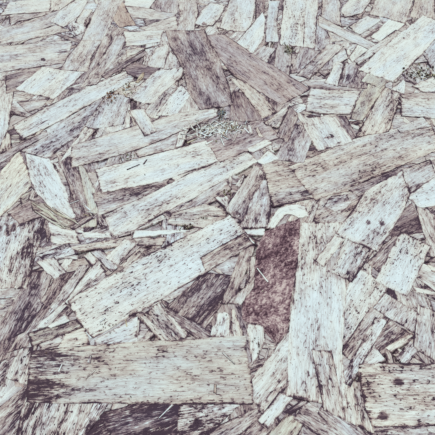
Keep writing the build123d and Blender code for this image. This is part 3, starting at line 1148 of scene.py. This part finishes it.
    ("lilacBrown", [(-60, 272), (-66, 253), (-58, 247)], [(-38, 272), (-39, 250), (-39, 244)]),
    ("tanOrange", [(-94.5, 262), (-100, 233), (-92, 219)], [(-93, 262), (-84, 240), (-76, 222)]),
    ("mint", [(-87, 212), (-49, 214)], [(-82, 190), (-52, 196)]),
    ("cream", [(-82, 186), (-64, 188)], [(-80, 174), (-68, 182)]),
    ("darkStreak", [(-84, 168), (-48, 160)], [(-76, 150), (-56, 140)]),
    ("brown", [(-98, 148), (-66, 186)], [(-94, 143), (-62, 180)]),
    ("mintGrey", [(-62, 160), (-56, 186), (-46, 193)], [(-46, 158), (-43, 186)]),
    ("mintGrey", [(-47, 156), (-42, 184)], [(-29, 150), (-35, 174)]),
    ("mint", [(-76, 120), (-52, 155)], [(-54, 110), (-30, 146), (-28, 160)]),
    # far middle
    ("tanBrown", [(-10, 74), (34, 96)], [(2, 49), (48, 74)]),
    ("lilacBrown", [(40, 50), (58, 92)], [(62, 48), (74, 82)]),
    ("white", [(28, 50), (36, 61)], [(33, 46), (44, 52)]),
    ("brown", [(44, 76), (57, 110)], [(53, 70), (64, 100)]),
    ("white", [(21.5, 62), (37, 72.5)], [(25.5, 58), (41, 67.5)]),
    ("white", [(22, 89), (24, 77)], [(25.5, 89), (27, 78)]),
    ("cream", [(28, 85), (32, 74.5)], [(31, 86), (34.5, 75)]),
    ("creamStreak", [(35, 90), (42, 96), (55, 109)], [(37, 87.5), (46, 84.5), (57, 107)]),
    ("darkStreak", [(9, 92), (12, 127)], [(37, 92), (20, 126)]),
    ("brown", [(40, 98), (36, 124)], [(48, 103), (54, 112)]),
    ("lilacBrown", [(72, 141), (120, 141)], [(76, 130), (120, 128)]),
    ("darkBrown", [(91, 99), (100, 71)], [(100, 99), (105, 74)]),
    ("mint", [(62, 101), (73.5, 60.5)], [(92, 97), (101, 70)]),
    ("coolMottle", [(136, 84), (160, 97)], [(138, 78), (164, 86)]),
    ("creamStreak", [(103, 74), (138, 133)], [(130, 80), (150, 126)]),
    ("olive", [(102, 94), (112, 116), (128, 141)], [(112, 91), (122, 108), (139, 134)]),
    ("tan", [(148, 126), (184, 126)], [(150, 117), (184, 116)]),
    ("mint", [(148, 119), (182, 118)], [(143, 97), (180, 95)]),
    ("white", [(141, 129), (155.5, 144)], [(152, 124), (157, 140)]),
    ("white", [(161, 135), (182, 148)], [(168, 127), (187, 127)]),
    ("lilacBrown", [(60, 150), (76, 194)], [(98, 158), (106, 196)]),
    ("lilac", [(86, 184), (92, 226)], [(101, 182), (108, 216)]),
    ("cream", [(101, 213), (103, 197)], [(113, 206), (118, 199)]),
    ("lilacBrown", [(99, 134), (112, 166)], [(122, 130), (132, 158)]),
    ("greyStreak", [(66, 148), (100, 194)], [(77, 144), (114, 190)]),
    ("white", [(88, 138), (104, 168)], [(100, 134), (110, 165)]),
    ("tan", [(46, 150), (54, 194)], [(60, 142), (68, 190)]),
    ("lilac", [(30, 176), (42, 192)], [(42, 166), (52, 186)]),
    ("mint", [(76, 131.5), (118, 128.5)], [(68.5, 103), (103.5, 99)]),
    # far right
    ("greyStreak", [(98, 232), (104, 272)], [(116, 222), (122, 272)]),
    ("mintGrey", [(146, 243), (160, 274)], [(177, 226), (198, 274)]),
    ("tanStreak", [(184, 236), (198, 274)], [(206, 228), (218, 274)]),
    ("olive", [(120, 141), (134, 160)], [(134, 131), (147, 143)]),
    ("coolLilac", [(180, 184), (198, 202)], [(184, 150), (198, 172)]),
    ("brown", [(36, 224), (38, 272)], [(42, 222), (48, 272)]),
    ("coolLilac", [(43, 195), (46, 225), (51, 265)], [(55, 195), (56, 225), (62, 265)]),
    ("mintBrown", [(56, 191), (66, 272)], [(77, 188), (90, 272)]),
    ("mint", [(76.5, 188), (89, 272)], [(87, 187), (101, 272)]),
    ("mint", [(1, 217.5), (6, 241), (12, 272)], [(28, 211), (33, 230), (38.5, 272)]),
    ("greyStreak", [(-38, 212), (-36, 240), (-40, 272)], [(-22, 214), (-18, 245), (-22, 272)]),
    ("mint", [(-21, 224), (-18, 244), (-8, 262)], [(-5, 222), (2, 236), (8, 257)]),
    ("white", [(16, 194), (32, 224), (44, 247)], [(31, 179), (42, 200), (45, 232)]),
    ("tanStreak", [(10, 146), (22, 124), (34.5, 95)], [(20, 143), (38, 120), (47, 102)]),
    ("brown", [(-48.5, 214), (-42.6, 189), (-29.3, 156), (-24, 126), (-14, 104)],
              [(-12, 216), (2, 170), (10, 134), (12, 111)]),
    ("brownStreak", [(-11, 207), (2, 172), (12, 150), (38, 123), (51, 110.5)],
                    [(6, 209), (33, 176), (58, 151), (77, 130.5)]),
    ("mint", [(120, 247), (123, 256), (134, 272)], [(121, 236), (140, 244), (154, 270)]),
    ("mint", [(122, 221), (144, 239.5)], [(131, 208), (156, 233)]),
    ("bright", [(139, 204), (163, 233)], [(148, 196), (177, 224)]),
    ("bright", [(114, 172), (126, 193)], [(120, 165), (142, 194)]),
    ("mintGrey", [(97, 240), (118, 217), (142, 194)], [(94, 222), (112, 206), (135, 184)]),
    ("mint", [(118, 168), (166, 216)], [(122, 164), (174, 212)]),
    ("white", [(120, 156), (145, 186), (170, 212), (197, 240)],
              [(146, 139), (164, 159), (196, 197), (222, 222)]),
]

# Knots and stains on them: place, half sizes along and across the grain, depth of colour
def spotOf(right, away, long, wide, dark):
    return {"at": (right, away), "long": long, "wide": wide, "dark": dark}


viewSpots = [
    # the stained end of the nearest strand
    spotOf(-93, -92, 16, 2.8, 1.1), spotOf(-92, -96, 15, 2.4, 0.85), spotOf(-95, -101, 12, 3.0, 0.7),
    spotOf(-95, -106, 12, 2.4, 0.8), spotOf(-93, -109, 14, 3.2, 1.1), spotOf(-94, -114.5, 13, 2.6, 1.0),
    spotOf(-80, -90, 10, 1.6, 0.6), spotOf(-72, -94, 9, 1.8, 0.45), spotOf(-76, -111, 12, 2.6, 0.5),
    spotOf(-60, -88, 9, 1.4, 0.4), spotOf(-50, -114, 12, 1.8, 0.35),
    spotOf(-28, -90, 3.4, 1.1, 0.9), spotOf(-33.5, -94, 2.4, 1.0, 0.7), spotOf(-51, -100, 3.0, 0.9, 0.4),
    # bark-dark blots near the left side
    spotOf(-117, -22, 6.5, 3.6, 1.0), spotOf(-121, -28, 6.0, 3.2, 0.9), spotOf(-126, -36, 6.0, 1.8, 0.9),
    # knots and their rings
    spotOf(94.5, -106.5, 2.8, 2.0, 1.5), spotOf(83, -123, 2.2, 1.8, 1.5), spotOf(76.5, -121, 1.6, 1.2, 1.0),
    spotOf(98.5, -4.5, 1.5, 1.2, 1.4), spotOf(107, -4.5, 2.2, 1.7, 1.4), spotOf(116, 12, 1.8, 1.3, 0.9),
    spotOf(76.4, 14.6, 3.0, 1.8, 0.9), spotOf(130, 157, 2.6, 1.8, 0.6), spotOf(16, 240, 2.4, 1.6, 0.5),
    spotOf(8.5, 229, 3.0, 2.2, 0.6), spotOf(3.2, -73, 2.4, 1.2, 0.6), spotOf(-56, 20, 4.6, 2.2, 1.0),
    spotOf(-47, 23, 7.0, 1.2, 0.7), spotOf(-76, -50, 5.0, 3.0, 0.7), spotOf(-137, 90, 5.5, 3.5, 0.6),
    spotOf(-136, 181, 7.0, 4.0, 0.75), spotOf(62, 22, 8, 3.0, 0.65), spotOf(108, 146, 5.0, 3.6, 0.9),
    spotOf(62, 161, 2.8, 2.0, 1.0), spotOf(32, 35, 3.2, 2.2, 0.9), spotOf(-55, 51, 1.2, 0.8, 0.4),
    spotOf(135, 188, 2.0, 1.4, 0.6), spotOf(128, 151, 2.2, 1.4, 0.7), spotOf(22, 140, 3.6, 2.0, 0.8),
    spotOf(-1, 178, 3.0, 1.6, 0.7), spotOf(-25, 176, 6.0, 2.0, 0.8), spotOf(-20, 186, 4.5, 1.8, 0.7),
    spotOf(-31, 160, 5.5, 1.8, 0.7), spotOf(110, 56, 2.4, 1.4, 0.6), spotOf(128, 63, 2.2, 1.4, 0.6),
    spotOf(107, 64, 2.0, 1.2, 0.7),
]

# Broken bits between the strands, and strands under them, so that no gap goes down to the core
sliverRules = {"count": 420, "away": (-135, 280), "length": (8, 34), "width": (1.5, 8.0), "skew": 0.4,
               "narrow": (0.25, 1), "size": 3.0, "ragged": 0.8, "wavy": 0.4}
fillRules = {"count": 230, "away": (-135, 280), "length": (60, 110), "width": (16, 34), "size": 4.6,
             "finishes": "mint mint lilac cream mintGrey creamStreak greyStreak".split()}


def somewhereInView(rules):
    # a place, a turn, a length and a width
    away = dice.uniform(*rules["away"])
    centre = onSheet((dice.uniform(-1, 1) * halfPatch(away), away))
    angle = dice.uniform(-math.pi / 2, math.pi / 2)
    return centre, angle, dice.uniform(*rules["length"]), dice.uniform(*rules["width"])


def scatterSlivers(mat):
    for _ in range(sliverRules["count"]):
        centre, angle, length, width = somewhereInView(sliverRules)
        leans = [dice.gauss(0, sliverRules["skew"]) * width for _ in range(4)]
        thins = [dice.uniform(*sliverRules["narrow"]) for _ in range(2)]
        left, right = stripSides(centre, angle, length, width, leans, thins)
        mat.lay(left, right, anyOf(upperShares), sliverRules["size"], ragged=sliverRules["ragged"],
                wavy=sliverRules["wavy"])


def fillStrands(mat):
    for _ in range(fillRules["count"]):
        left, right = stripSides(*somewhereInView(fillRules))
        mat.lay(left, right, dice.choice(fillRules["finishes"]), fillRules["size"])


# The lowest strands, side by side in rows, so that nothing shows under them: steps across and along
# the sheet, a strand's length, width and lean in degrees, and its cells
bedRules = {"row": 22.0, "run": 106.0, "length": 115.0, "width": 27.0, "lean": 2.5, "size": 30.0}


def layBed(mat):
    rows = math.ceil(2 * halfWidth / bedRules["row"])
    for row in range(rows + 1):
        along = -halfLength - dice.uniform(0, bedRules["run"])
        while along < halfLength:
            centre = np.array([along + bedRules["length"] / 2, (row / rows * 2 - 1) * halfWidth])
            angle = math.radians(dice.gauss(0, bedRules["lean"]))
            left, right = map(clipped, stripSides(centre, angle, bedRules["length"], bedRules["width"]))
            if left and right:
                mat.lay(left, right, anyOf(lowerShares), bedRules["size"])
            along += bedRules["run"]


faceMat = Mat(matRules["spring"])
layBed(faceMat)
scatterStrands(faceMat, layRules["faceStrands"][0], lowerShares, True)
fillStrands(faceMat)
scatterStrands(faceMat, layRules["faceStrands"][1], upperShares, True)
scatterSlivers(faceMat)
print("seeded strands laid", len(faceMat.strands))

for index, (finish, left, right) in enumerate(viewStrands):
    away = sum(point[1] for point in left + right) / len(left + right)
    spotted = any(holds(left + right[::-1], spot["at"]) for spot in viewSpots)
    faceMat.lay([onSheet(point) for point in left], [onSheet(point) for point in right], finish,
                viewRules["sizeAtSpots" if spotted else "size"],
                ragged=viewRules["ragged"], wavy=viewRules["wavy"], spots=viewSpots,
                lifts=viewRules["lifted"].get(index, (0, 0)),
                follow=max(len(left), len(right)) > viewRules["bent"],
                piece="bark_strip" if finish == "bark" else "strands",
                markStrength=np.interp(away, *viewRules["markStrength"]))
print("strands in view laid", len(viewStrands))

# Dry grass and splinters on the face: finish, points from end to end, width. The ends are narrower
# by these shares.
bladeRules = {"size": 2.0, "ragged": 0.1, "wavy": 0.12, "thickness": 0.45, "ends": (0.55, 0.3)}
looseBlades = {
    "loose_grass": [
        ("greenStraw", [(-124, 12), (-112, 4), (-98, -9)], 1.5),
        ("greenStraw", [(-116, 11), (-106, 3), (-92, -4)], 1.2),
        ("olive", [(-121, 5), (-108, -4), (-96, -8)], 1.0),
        ("straw", [(-110, 8), (-101, 2), (-90, -6)], 0.9),
        ("greenStraw", [(-114, 0), (-100, -9)], 1.1),
        ("yellowLeaf", [(-67, 138.6), (-64, 146), (-62.5, 152)], 4.0),
        ("darkBrown", [(-95, 153), (-80, 169), (-65, 184)], 2.2),
    ],
    "loose_splinters": [
        ("paleStraw", [(-23, -118), (-29, -124)], 0.7), ("greyStreak", [(-65, -100), (-69, -105)], 0.7),
        ("darkStraw", [(-64, 42), (-56, 47)], 1.0), ("darkStraw", [(-53, 47.5), (-51, 51.7)], 1.1),
        ("paleStraw", [(24, -39), (30, -48)], 0.6), ("greyStreak", [(-69, -96), (-68.5, -92.5)], 2.4),
        ("tanOrange", [(-1.5, -112), (-1.2, -108)], 1.6), ("paleStraw", [(-84, -101), (-83, -97)], 0.6),
        ("straw", [(3, -91), (9, -97)], 0.5), ("brown", [(26, -94), (28, -88)], 0.8),
        ("straw", [(-12, 84), (-4, 90)], 0.9), ("paleStraw", [(-6, 76), (2, 80)], 0.8),
        ("straw", [(2, 82), (11, 78)], 0.9), ("paleStraw", [(-14, 78), (-9, 86)], 0.8),
        ("straw", [(5, 88), (12, 92)], 0.8), ("paleStraw", [(-2, 92), (5, 86)], 0.9),
        ("straw", [(-18, 90), (-12, 93)], 0.9), ("brown", [(-8, 72), (-3, 78)], 0.8),
        ("straw", [(12, 70), (15, 78)], 0.8), ("paleStraw", [(8, 72), (4, 75)], 0.7),
    ],
}


def layBlade(piece, finish, line, width):
    line = [onSheet(point) for point in line]
    run = line[-1] - line[0]
    side = np.array([-run[1], run[0]]) / np.hypot(*run)
    first, last = bladeRules["ends"]
    shares = [first] + [1.0] * (len(line) - 2) + [last]
    left, right = ([point + side * half * share for point, share in zip(line, shares)]
                   for half in (width / 2, -width / 2))
    faceMat.lay(left, right, finish, bladeRules["size"], ragged=bladeRules["ragged"],
                wavy=bladeRules["wavy"], thick=bladeRules["thickness"], follow=True, piece=piece,
                stays=True)


# Short straws gathered in the hollows: where, how far they spread, how many, length, width
strawHeaps = [
    ((-6, 82), (8.5, 5.0), 74, (3.4, 9.0), (0.8, 1.4)),
    ((11, 86), (5.0, 3.0), 20, (3.2, 6.5), (0.6, 1.1)),
    ((-65, 55), (4.0, 2.0), 8, (1.5, 4.0), (0.4, 0.6)),
    ((-72, 130), (4.0, 6.0), 12, (2.0, 5.0), (0.5, 0.8)),
    ((172, 150), (6.0, 5.0), 16, (2.0, 7.0), (0.5, 0.9)),
    ((-90, 4), (5.0, 4.0), 8, (2.0, 6.0), (0.4, 0.7)),
    ((-60, -78), (5.0, 4.0), 8, (1.5, 5.0), (0.3, 0.6)),
]
strawFinishes = ["paleStraw"] * 4 + ["straw", "straw", "yellowLeaf", "brown"]
shortestStraw = 3.1
for middle, spread, count, lengths, widths in strawHeaps:
    for _ in range(count):
        centre = np.array([dice.gauss(at, reach) for at, reach in zip(middle, spread)])
        angle = dice.uniform(0, math.pi)
        half = np.array([math.cos(angle), math.sin(angle)]) * dice.uniform(*lengths) / 2 + 1e-6
        if np.hypot(*half) > shortestStraw / 2:
            straw = (dice.choice(strawFinishes), [centre - half, centre + half], dice.uniform(*widths))
            looseBlades["loose_splinters"].append(straw)

for name, blades in looseBlades.items():
    for finish, line, width in blades:
        layBlade(name, finish, line, width)

faceMat.settle()
print("face pressed, with grass and splinters", len(faceMat.strands))

# The face and the underside are each made in strips across the sheet
matStrips = {"face_strands": 10, "back_strands": 4}


def makeMatPieces(mat, name, upsideDown):
    kept = [strand for strand in mat.strands if not mat.hidden(strand)]
    print(name, "keeps", len(kept), "of", len(mat.strands))
    strips = matStrips[name]
    for strip in range(strips):
        low = -halfWidth + strip * 2 * halfWidth / strips
        high = low + 2 * halfWidth / strips
        parts = [mat.shaped(strand, upsideDown) for strand in kept
                 if low <= strand["centre"][1] < high and strand["piece"] == "strands"]
        joined(f"{name}_{strip + 1:02d}", parts, strandMaterial)


makeMatPieces(faceMat, "face_strands", False)
for name in ("bark_strip", *looseBlades):
    parts = [faceMat.shaped(strand, False) for strand in faceMat.strands if strand["piece"] == name]
    joined(name, parts, barkMaterial if name == "bark_strip" else strandMaterial)

# The underside: a mat of its own, pressed flat, as the sheet lies on it, and turned over
backMat = Mat(0.0)
layBed(backMat)
scatterStrands(backMat, layRules["backStrands"][0], lowerShares, False)
scatterStrands(backMat, layRules["backStrands"][1], upperShares, False)
backMat.settle(faceHeight - matRules["offGround"])
makeMatPieces(backMat, "back_strands", True)

# Grit and moss crumbs: where, how far they spread, how many, how large, of what colour
crumbTones = {"dark": (70, 55, 58), "brown": (112, 92, 86), "pale": (188, 184, 168), "moss": (124, 120, 92),
              "olive": (150, 148, 124), "grey": (164, 166, 158), "blue": (128, 146, 158),
              "rust": (150, 112, 84)}


def heapOf(right, away, spreadRight, spreadAway, count, size, tones):
    return {"at": (right, away), "spread": (spreadRight, spreadAway), "count": count, "size": size,
            "tones": tones.split()}


crumbHeaps = [
    heapOf(-20.8, -7.1, 2.4, 1.4, 30, (0.4, 1.3), "brown moss dark pale"),
    heapOf(-8.9, -0.8, 1.4, 1.0, 14, (0.4, 1.2), "brown dark grey"),
    heapOf(6.5, 20.3, 1.8, 1.4, 18, (0.4, 1.3), "brown moss dark"),
    heapOf(-6, 82, 7.5, 4.6, 150, (0.4, 1.2), "grey pale brown grey dark olive"),
    heapOf(11, 85, 5.0, 3.0, 70, (0.5, 1.3), "grey pale brown olive"),
    heapOf(3.5, 100, 1.8, 3.2, 60, (0.6, 1.6), "grey blue olive dark"),
    heapOf(-65, 55, 4.0, 2.0, 36, (0.4, 1.2), "dark brown olive"),
    heapOf(-86, 121, 3.0, 4.5, 44, (0.5, 1.5), "dark brown rust"),
    heapOf(-74, 132, 2.6, 4.5, 34, (0.5, 1.5), "olive dark brown rust"),
    heapOf(172, 150, 6.0, 5.0, 110, (0.6, 2.0), "dark brown olive grey dark"),
    heapOf(62.5, 184, 1.8, 4.2, 60, (0.7, 1.9), "grey grey dark olive"),
    heapOf(-62, -76, 3.0, 2.0, 16, (0.3, 0.9), "dark brown"),
    heapOf(74, -102, 2.0, 4.0, 26, (0.3, 1.0), "dark brown"),
    heapOf(22.8, -87, 1.6, 2.6, 14, (0.3, 1.0), "dark brown"),
]
# Grit strewn over the patch in view
gritRules = {"count": 420, "size": (0.25, 0.8), "tones": "dark dark brown brown pale".split(),
             "away": (-130, 260), "halfWidth": 112.0, "widening": 0.27}
crumbRules = {
    "patterns": 4,
    "rough": 0.105,         # of a crumb 1 across
    "brokenAbove": 0.30,    # faces broken flat at the top and at one side
    "brokenBeside": 0.36,
    "flattened": 0.45,      # what is left of the broken part, towards this height
    "flattenedTo": 0.2,
    "stretch": ((0.7, 1.4), (0.6, 1.1), (0.5, 0.9)),
    "shades": (0.75, 1.25),
    "sunk": 0.18,           # share of a crumb that sits in the face
    "smoothUpTo": 60.0,     # degrees between faces
}


def crumbPattern(number):
    nothingSelected()
    bpy.ops.mesh.primitive_ico_sphere_add(subdivisions=2, radius=0.5, location=(0, 0, 0))
    crumb = bpy.context.object
    editMode("VERT")
    bpy.ops.mesh.select_all(action="SELECT")
    bpy.ops.transform.vertex_random(offset=crumbRules["rough"], uniform=0.1, normal=0.9, seed=number)
    bpy.ops.mesh.select_all(action="DESELECT")
    bpy.ops.object.mode_set(mode="OBJECT")
    pick(crumb.data, "faces", lambda middle, normal: middle.z > crumbRules["brokenAbove"]
         or middle.x > crumbRules["brokenBeside"])
    editMode("FACE")
    bpy.ops.transform.resize(value=(1, 1, crumbRules["flattened"]),
                             center_override=(0, 0, crumbRules["flattenedTo"]))
    bpy.ops.object.mode_set(mode="OBJECT")
    return Pattern(crumb)


def placedCrumb(pattern, place, size, shade):
    turnBy = Quaternion([dice.gauss(0, 1) for _ in range(4)]).normalized().to_matrix()
    stretch = np.array([dice.uniform(*limits) for limits in crumbRules["stretch"]]) * size
    places = (pattern.places * stretch) @ np.array(turnBy).T
    low = places[:, 2].min()
    places[:, :2] += place
    places[:, 2] += faceMat.heightAt(place) - low * (1 - crumbRules["sunk"])
    tones = np.ones((len(places), 4))
    tones[:, :3] = np.array(linear(shade)) * dice.uniform(*crumbRules["shades"])
    return {"places": places, "corners": pattern.corners, "starts": pattern.starts, "tone": tones}


crumbPatterns = [crumbPattern(number) for number in range(crumbRules["patterns"])]
crumbs = []


def dropCrumb(spot, rules):
    crumbs.append(placedCrumb(dice.choice(crumbPatterns), onSheet(spot), dice.uniform(*rules["size"]),
                              crumbTones[dice.choice(rules["tones"])]))


for heap in crumbHeaps:
    for _ in range(heap["count"]):
        dropCrumb([dice.gauss(middle, spread) for middle, spread in zip(heap["at"], heap["spread"])], heap)
for _ in range(gritRules["count"]):
    away = dice.uniform(*gritRules["away"])
    half = gritRules["halfWidth"] + (away - viewRules["halfWidthAt"]) * gritRules["widening"]
    dropCrumb((dice.uniform(-1, 1) * half, away), gritRules)
joined("sand_crumbs", crumbs, bitsMaterial, crumbRules["smoothUpTo"])

# Sawn edges: the cut ends of the strands, layer by layer, left out where a void gapes
edgeRules = {
    "layers": 18,
    "fromFace": 0.75,       # of the outermost layers
    "fromCorner": 0.6,
    "length": (16.0, 105.0),
    "shortest": 2.0,
    "rest": 8.0,            # a shorter rest is added to the bar before it
    "gap": (0.2, 1.6),
    "cell": 16.0,
    "depth": 1.3,
    "setBack": (0.10, 0.50),
    "waves": 0.05,          # in and out along one bar
    "leastSetBack": 0.04,
    "thickness": 0.94,      # share of a layer's height
    "endTaper": ([0, 0.12, 1], [0.4, 1, 1]),    # of the thickness, by the share of the length
    "swell": 0.22,          # by which the layers wander up and down
    "swellLengths": (37, 61),
    "grain": (0.6, 2.5),    # the grain's size along the edge and up it, against that of a strand's face
    "sideDirtAndShade": 0.9,        # dirt and painted shade at a bar's inner side
    "shares": {"edgePale": 5, "edgeBrown": 5, "edgeDark": 2},
    "uneven": 0.2,
    "rim": (0.1, 2.8),      # how far from its edge a bar's border and its middle line count as
    "smoothUpTo": 50.0,     # degrees between faces
    "voidInset": 0.6,       # faces of the sheet further in than this belong to voids
    "onPlane": 0.05,        # so close to a face of the sheet is on it
    "onEdge": 0.1,
    "voidRoom": 0.3,        # kept free on either side of a void
}
# each side's direction along the edge, and the one out of it
edgeSides = {"left": ((0, -1), (-1, 0)), "right": ((0, 1), (1, 0)), "near": ((1, 0), (0, -1)),
             "far": ((-1, 0), (0, 1))}


def edgeVoids():
    # outlines of the voids in the CAD sheet's edges, as (along, height) points by side
    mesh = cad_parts["osb_panel"].data
    half = (halfLength, halfWidth)
    groups = {}
    for polygon in mesh.polygons:
        middle = polygon.center / mm
        inset = min(half[0] - abs(middle.x), half[1] - abs(middle.y))
        onFace = min(middle.z, faceHeight - middle.z) < edgeRules["onPlane"]
        if inset < edgeRules["voidInset"] or onFace:
            continue
        # triangles that share a corner belong to one void
        points = [tuple(round(value / mm, 2) for value in mesh.vertices[i].co) for i in polygon.vertices]
        merged = set(points)
        for key in {groups[point][0] for point in points if point in groups}:
            merged |= groups[key][1]
        entry = (min(merged), merged)
        for point in merged:
            groups[point] = entry
    voids = {side: [] for side in edgeSides}
    for _, points in {entry[0]: entry for entry in groups.values()}.values():
        # the side that the void opens at, whose outward way is along x or y
        reach = {side: max(p[0] * x + p[1] * y for p in points) - (half[0] if x else half[1])
                 for side, (_, (x, y)) in edgeSides.items()}
        side = max(reach, key=reach.get)
        axis = 1 if side in ("left", "right") else 0
        outer = [p for p in points if abs(abs(p[1 - axis]) - half[1 - axis]) < edgeRules["onEdge"]]
        voids[side].append([(p[axis], p[2]) for p in outer])
    return voids


def gapAt(outline, height):
    # from where to where a void's outline is open at this height
    meets = []
    for n, (a, h) in enumerate(outline):
        for b, k in outline[n + 1:]:
            if min(h, k) <= height <= max(h, k) and abs(h - k) > 1e-6:
                meets.append(a + (b - a) * (height - h) / (k - h))
    return (min(meets), max(meets)) if meets else None


def edgeBar(side, start, end, height, thickness):
    cells = max(2, round((end - start) / edgeRules["cell"]))
    pattern = strandPattern(cells, 2, False)
    tangent, outward = (np.array(way) for way in edgeSides[side])
    reach = halfWidth if side in ("near", "far") else halfLength
    share, level = pattern.i / cells, pattern.level
    run = start + (end - start) * share
    facing = tangent.sum()
    flip = run if facing > 0 else start + end - run
    taper = np.interp(np.minimum(share, 1 - share), *edgeRules["endTaper"])
    short, long = edgeRules["swellLengths"]
    wander = edgeRules["swell"] * (np.sin(flip / short + len(side)) + np.sin(flip / long + height))
    heights = height + wander + (pattern.j - 1) / 2 * thickness * taper
    setBack = draw.uniform(*edgeRules["setBack"])
    setBack = setBack + draw.uniform(-edgeRules["waves"], edgeRules["waves"], cells + 1)[pattern.i]
    out = reach - np.maximum(setBack, edgeRules["leastSetBack"]) - level * edgeRules["depth"]
    flat = tangent * (flip * facing)[:, None] + outward * out[:, None]
    # darker deeper into the edge, between the layers: dirt and painted shade
    looks = carriedLooks(anyOf(edgeRules["shares"]), draw.normal(0, edgeRules["uneven"]),
                         np.zeros(len(level)), level * edgeRules["sideDirtAndShade"])
    lengthwise, upright = edgeRules["grain"]
    grain = np.stack([flip * lengthwise, heights * upright + draw.uniform(0, 300)], -1)
    border, middle = edgeRules["rim"]
    rim = np.stack([np.where(pattern.j == 1, middle, border), np.full(len(level), noRim)], -1)
    return {"places": np.concatenate([flat, heights[:, None]], 1), "corners": pattern.corners,
            "starts": pattern.starts, "grain": grain, "rim": rim, **looks}


def makeEdge(side, voids):
    half = halfLength if side in ("near", "far") else halfWidth
    pitch = (faceHeight - 2 * edgeRules["fromFace"]) / edgeRules["layers"]
    room = edgeRules["voidRoom"]
    bars = []
    for layer in range(edgeRules["layers"]):
        height = edgeRules["fromFace"] + (layer + 0.5) * pitch
        gaps = sorted(gap for gap in (gapAt(outline, height) for outline in voids) if gap)
        stretches = []
        start = -half + edgeRules["fromCorner"]
        for low, high in gaps:
            stretches.append((start, low - room))
            start = max(start, high + room)
        stretches.append((start, half - edgeRules["fromCorner"]))
        for start, end in stretches:
            at = start
            while end - at > edgeRules["shortest"]:
                reach = min(at + dice.uniform(*edgeRules["length"]), end)
                if end - reach < edgeRules["rest"]:
                    reach = end
                bars.append(edgeBar(side, at, reach, height, pitch * edgeRules["thickness"]))
                at = reach + dice.uniform(*edgeRules["gap"])
    joined("edge_layers_" + side, bars, strandMaterial, edgeRules["smoothUpTo"])


voidOutlines = edgeVoids()
print("voids found", {side: len(found) for side, found in voidOutlines.items()})
for side, found in voidOutlines.items():
    makeEdge(side, found)

# The core: a copy of the CAD sheet, drawn in behind the strands and the edge layers
coreRules = {"sideInset": 1.0, "faceInset": 1.5, "smoothUpTo": 30.0}


def makeCore():
    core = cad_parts["osb_panel"].copy()
    core.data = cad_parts["osb_panel"].data.copy()
    core.name = "core_panel"
    for key in list(core.keys()):
        del core[key]
    core.parent = None
    bpy.context.scene.collection.objects.link(core)
    nothingSelected()
    core.select_set(True)
    bpy.context.view_layer.objects.active = core
    editMode("VERT")
    bpy.ops.mesh.select_all(action="SELECT")
    bpy.ops.mesh.remove_doubles(threshold=1e-6)
    scale = (1 - coreRules["sideInset"] / halfLength, 1 - coreRules["sideInset"] / halfWidth,
             1 - 2 * coreRules["faceInset"] / faceHeight)
    bpy.ops.transform.resize(value=scale, center_override=(0, 0, faceHeight / 2 * mm))
    bpy.ops.object.mode_set(mode="OBJECT")
    core.data.materials.clear()
    core.data.materials.append(coreMaterial)
    bpy.ops.object.shade_smooth_by_angle(angle=math.radians(coreRules["smoothUpTo"]))
    core.select_set(False)
    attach(core, "root")
    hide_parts("osb_panel")


makeCore()
print("core made")

# Floor, and soft light from the far side, at a level where colours come out as written
stageRules = {
    "floorSize": 40.0,      # metres
    "floor": (0.78, 0.79, 0.80),
    "backdrop": (0.86, 0.87, 0.88),
    "sun": 1.75,
    "sunAngle": 38.0,       # degrees across, for soft shadows
    "sunHeight": 52.0,      # degrees above the horizon
    "sunTurn": 18.0,        # degrees left of straight away
    "sky": 0.69,
}


def makeStage():
    nothingSelected()
    bpy.ops.mesh.primitive_plane_add(size=stageRules["floorSize"], location=(0, 0, 0))
    floor = bpy.context.object
    floor.name = "floor"
    paint = Recipe("pale floor")
    shader = paint.node("ShaderNodeBsdfPrincipled", {},
                        {"Base Color": (*stageRules["floor"], 1), "Roughness": 0.9,
                         "Specular IOR Level": 0.2})
    paint.node("ShaderNodeOutputMaterial", {}, {"Surface": shader})
    floor.data.materials.append(paint.made)

    lamp = bpy.data.lights.new("far window", "SUN")
    lamp.energy = stageRules["sun"]
    lamp.angle = math.radians(stageRules["sunAngle"])
    sun = bpy.data.objects.new("far window", lamp)
    bpy.context.scene.collection.objects.link(sun)
    spin = math.radians(stageRules["sunTurn"])
    away = pictureAway * math.cos(spin) - pictureRight * math.sin(spin)
    rise = math.radians(stageRules["sunHeight"])
    come = Vector((away[0] * math.cos(rise), away[1] * math.cos(rise), math.sin(rise)))
    sun.rotation_mode = "QUATERNION"
    sun.rotation_quaternion = come.to_track_quat("Z", "Y")

    # an even sky, which the camera sees as a pale backdrop
    sky = Recipe("studio", "worlds")
    bpy.context.scene.world = sky.made
    fill = sky.node("ShaderNodeBackground", {}, {"Color": (1, 1, 1, 1), "Strength": stageRules["sky"]})
    back = sky.node("ShaderNodeBackground", {}, {"Color": (*stageRules["backdrop"], 1)})
    seen = sky.node("ShaderNodeLightPath", {}, {}, "Is Camera Ray")
    blend = sky.node("ShaderNodeMixShader", {}, {0: seen, 1: fill, 2: back})
    sky.node("ShaderNodeOutputWorld", {}, {"Surface": blend})


makeStage()
bpy.context.scene.view_settings.view_transform = "Standard"
print("stage made")
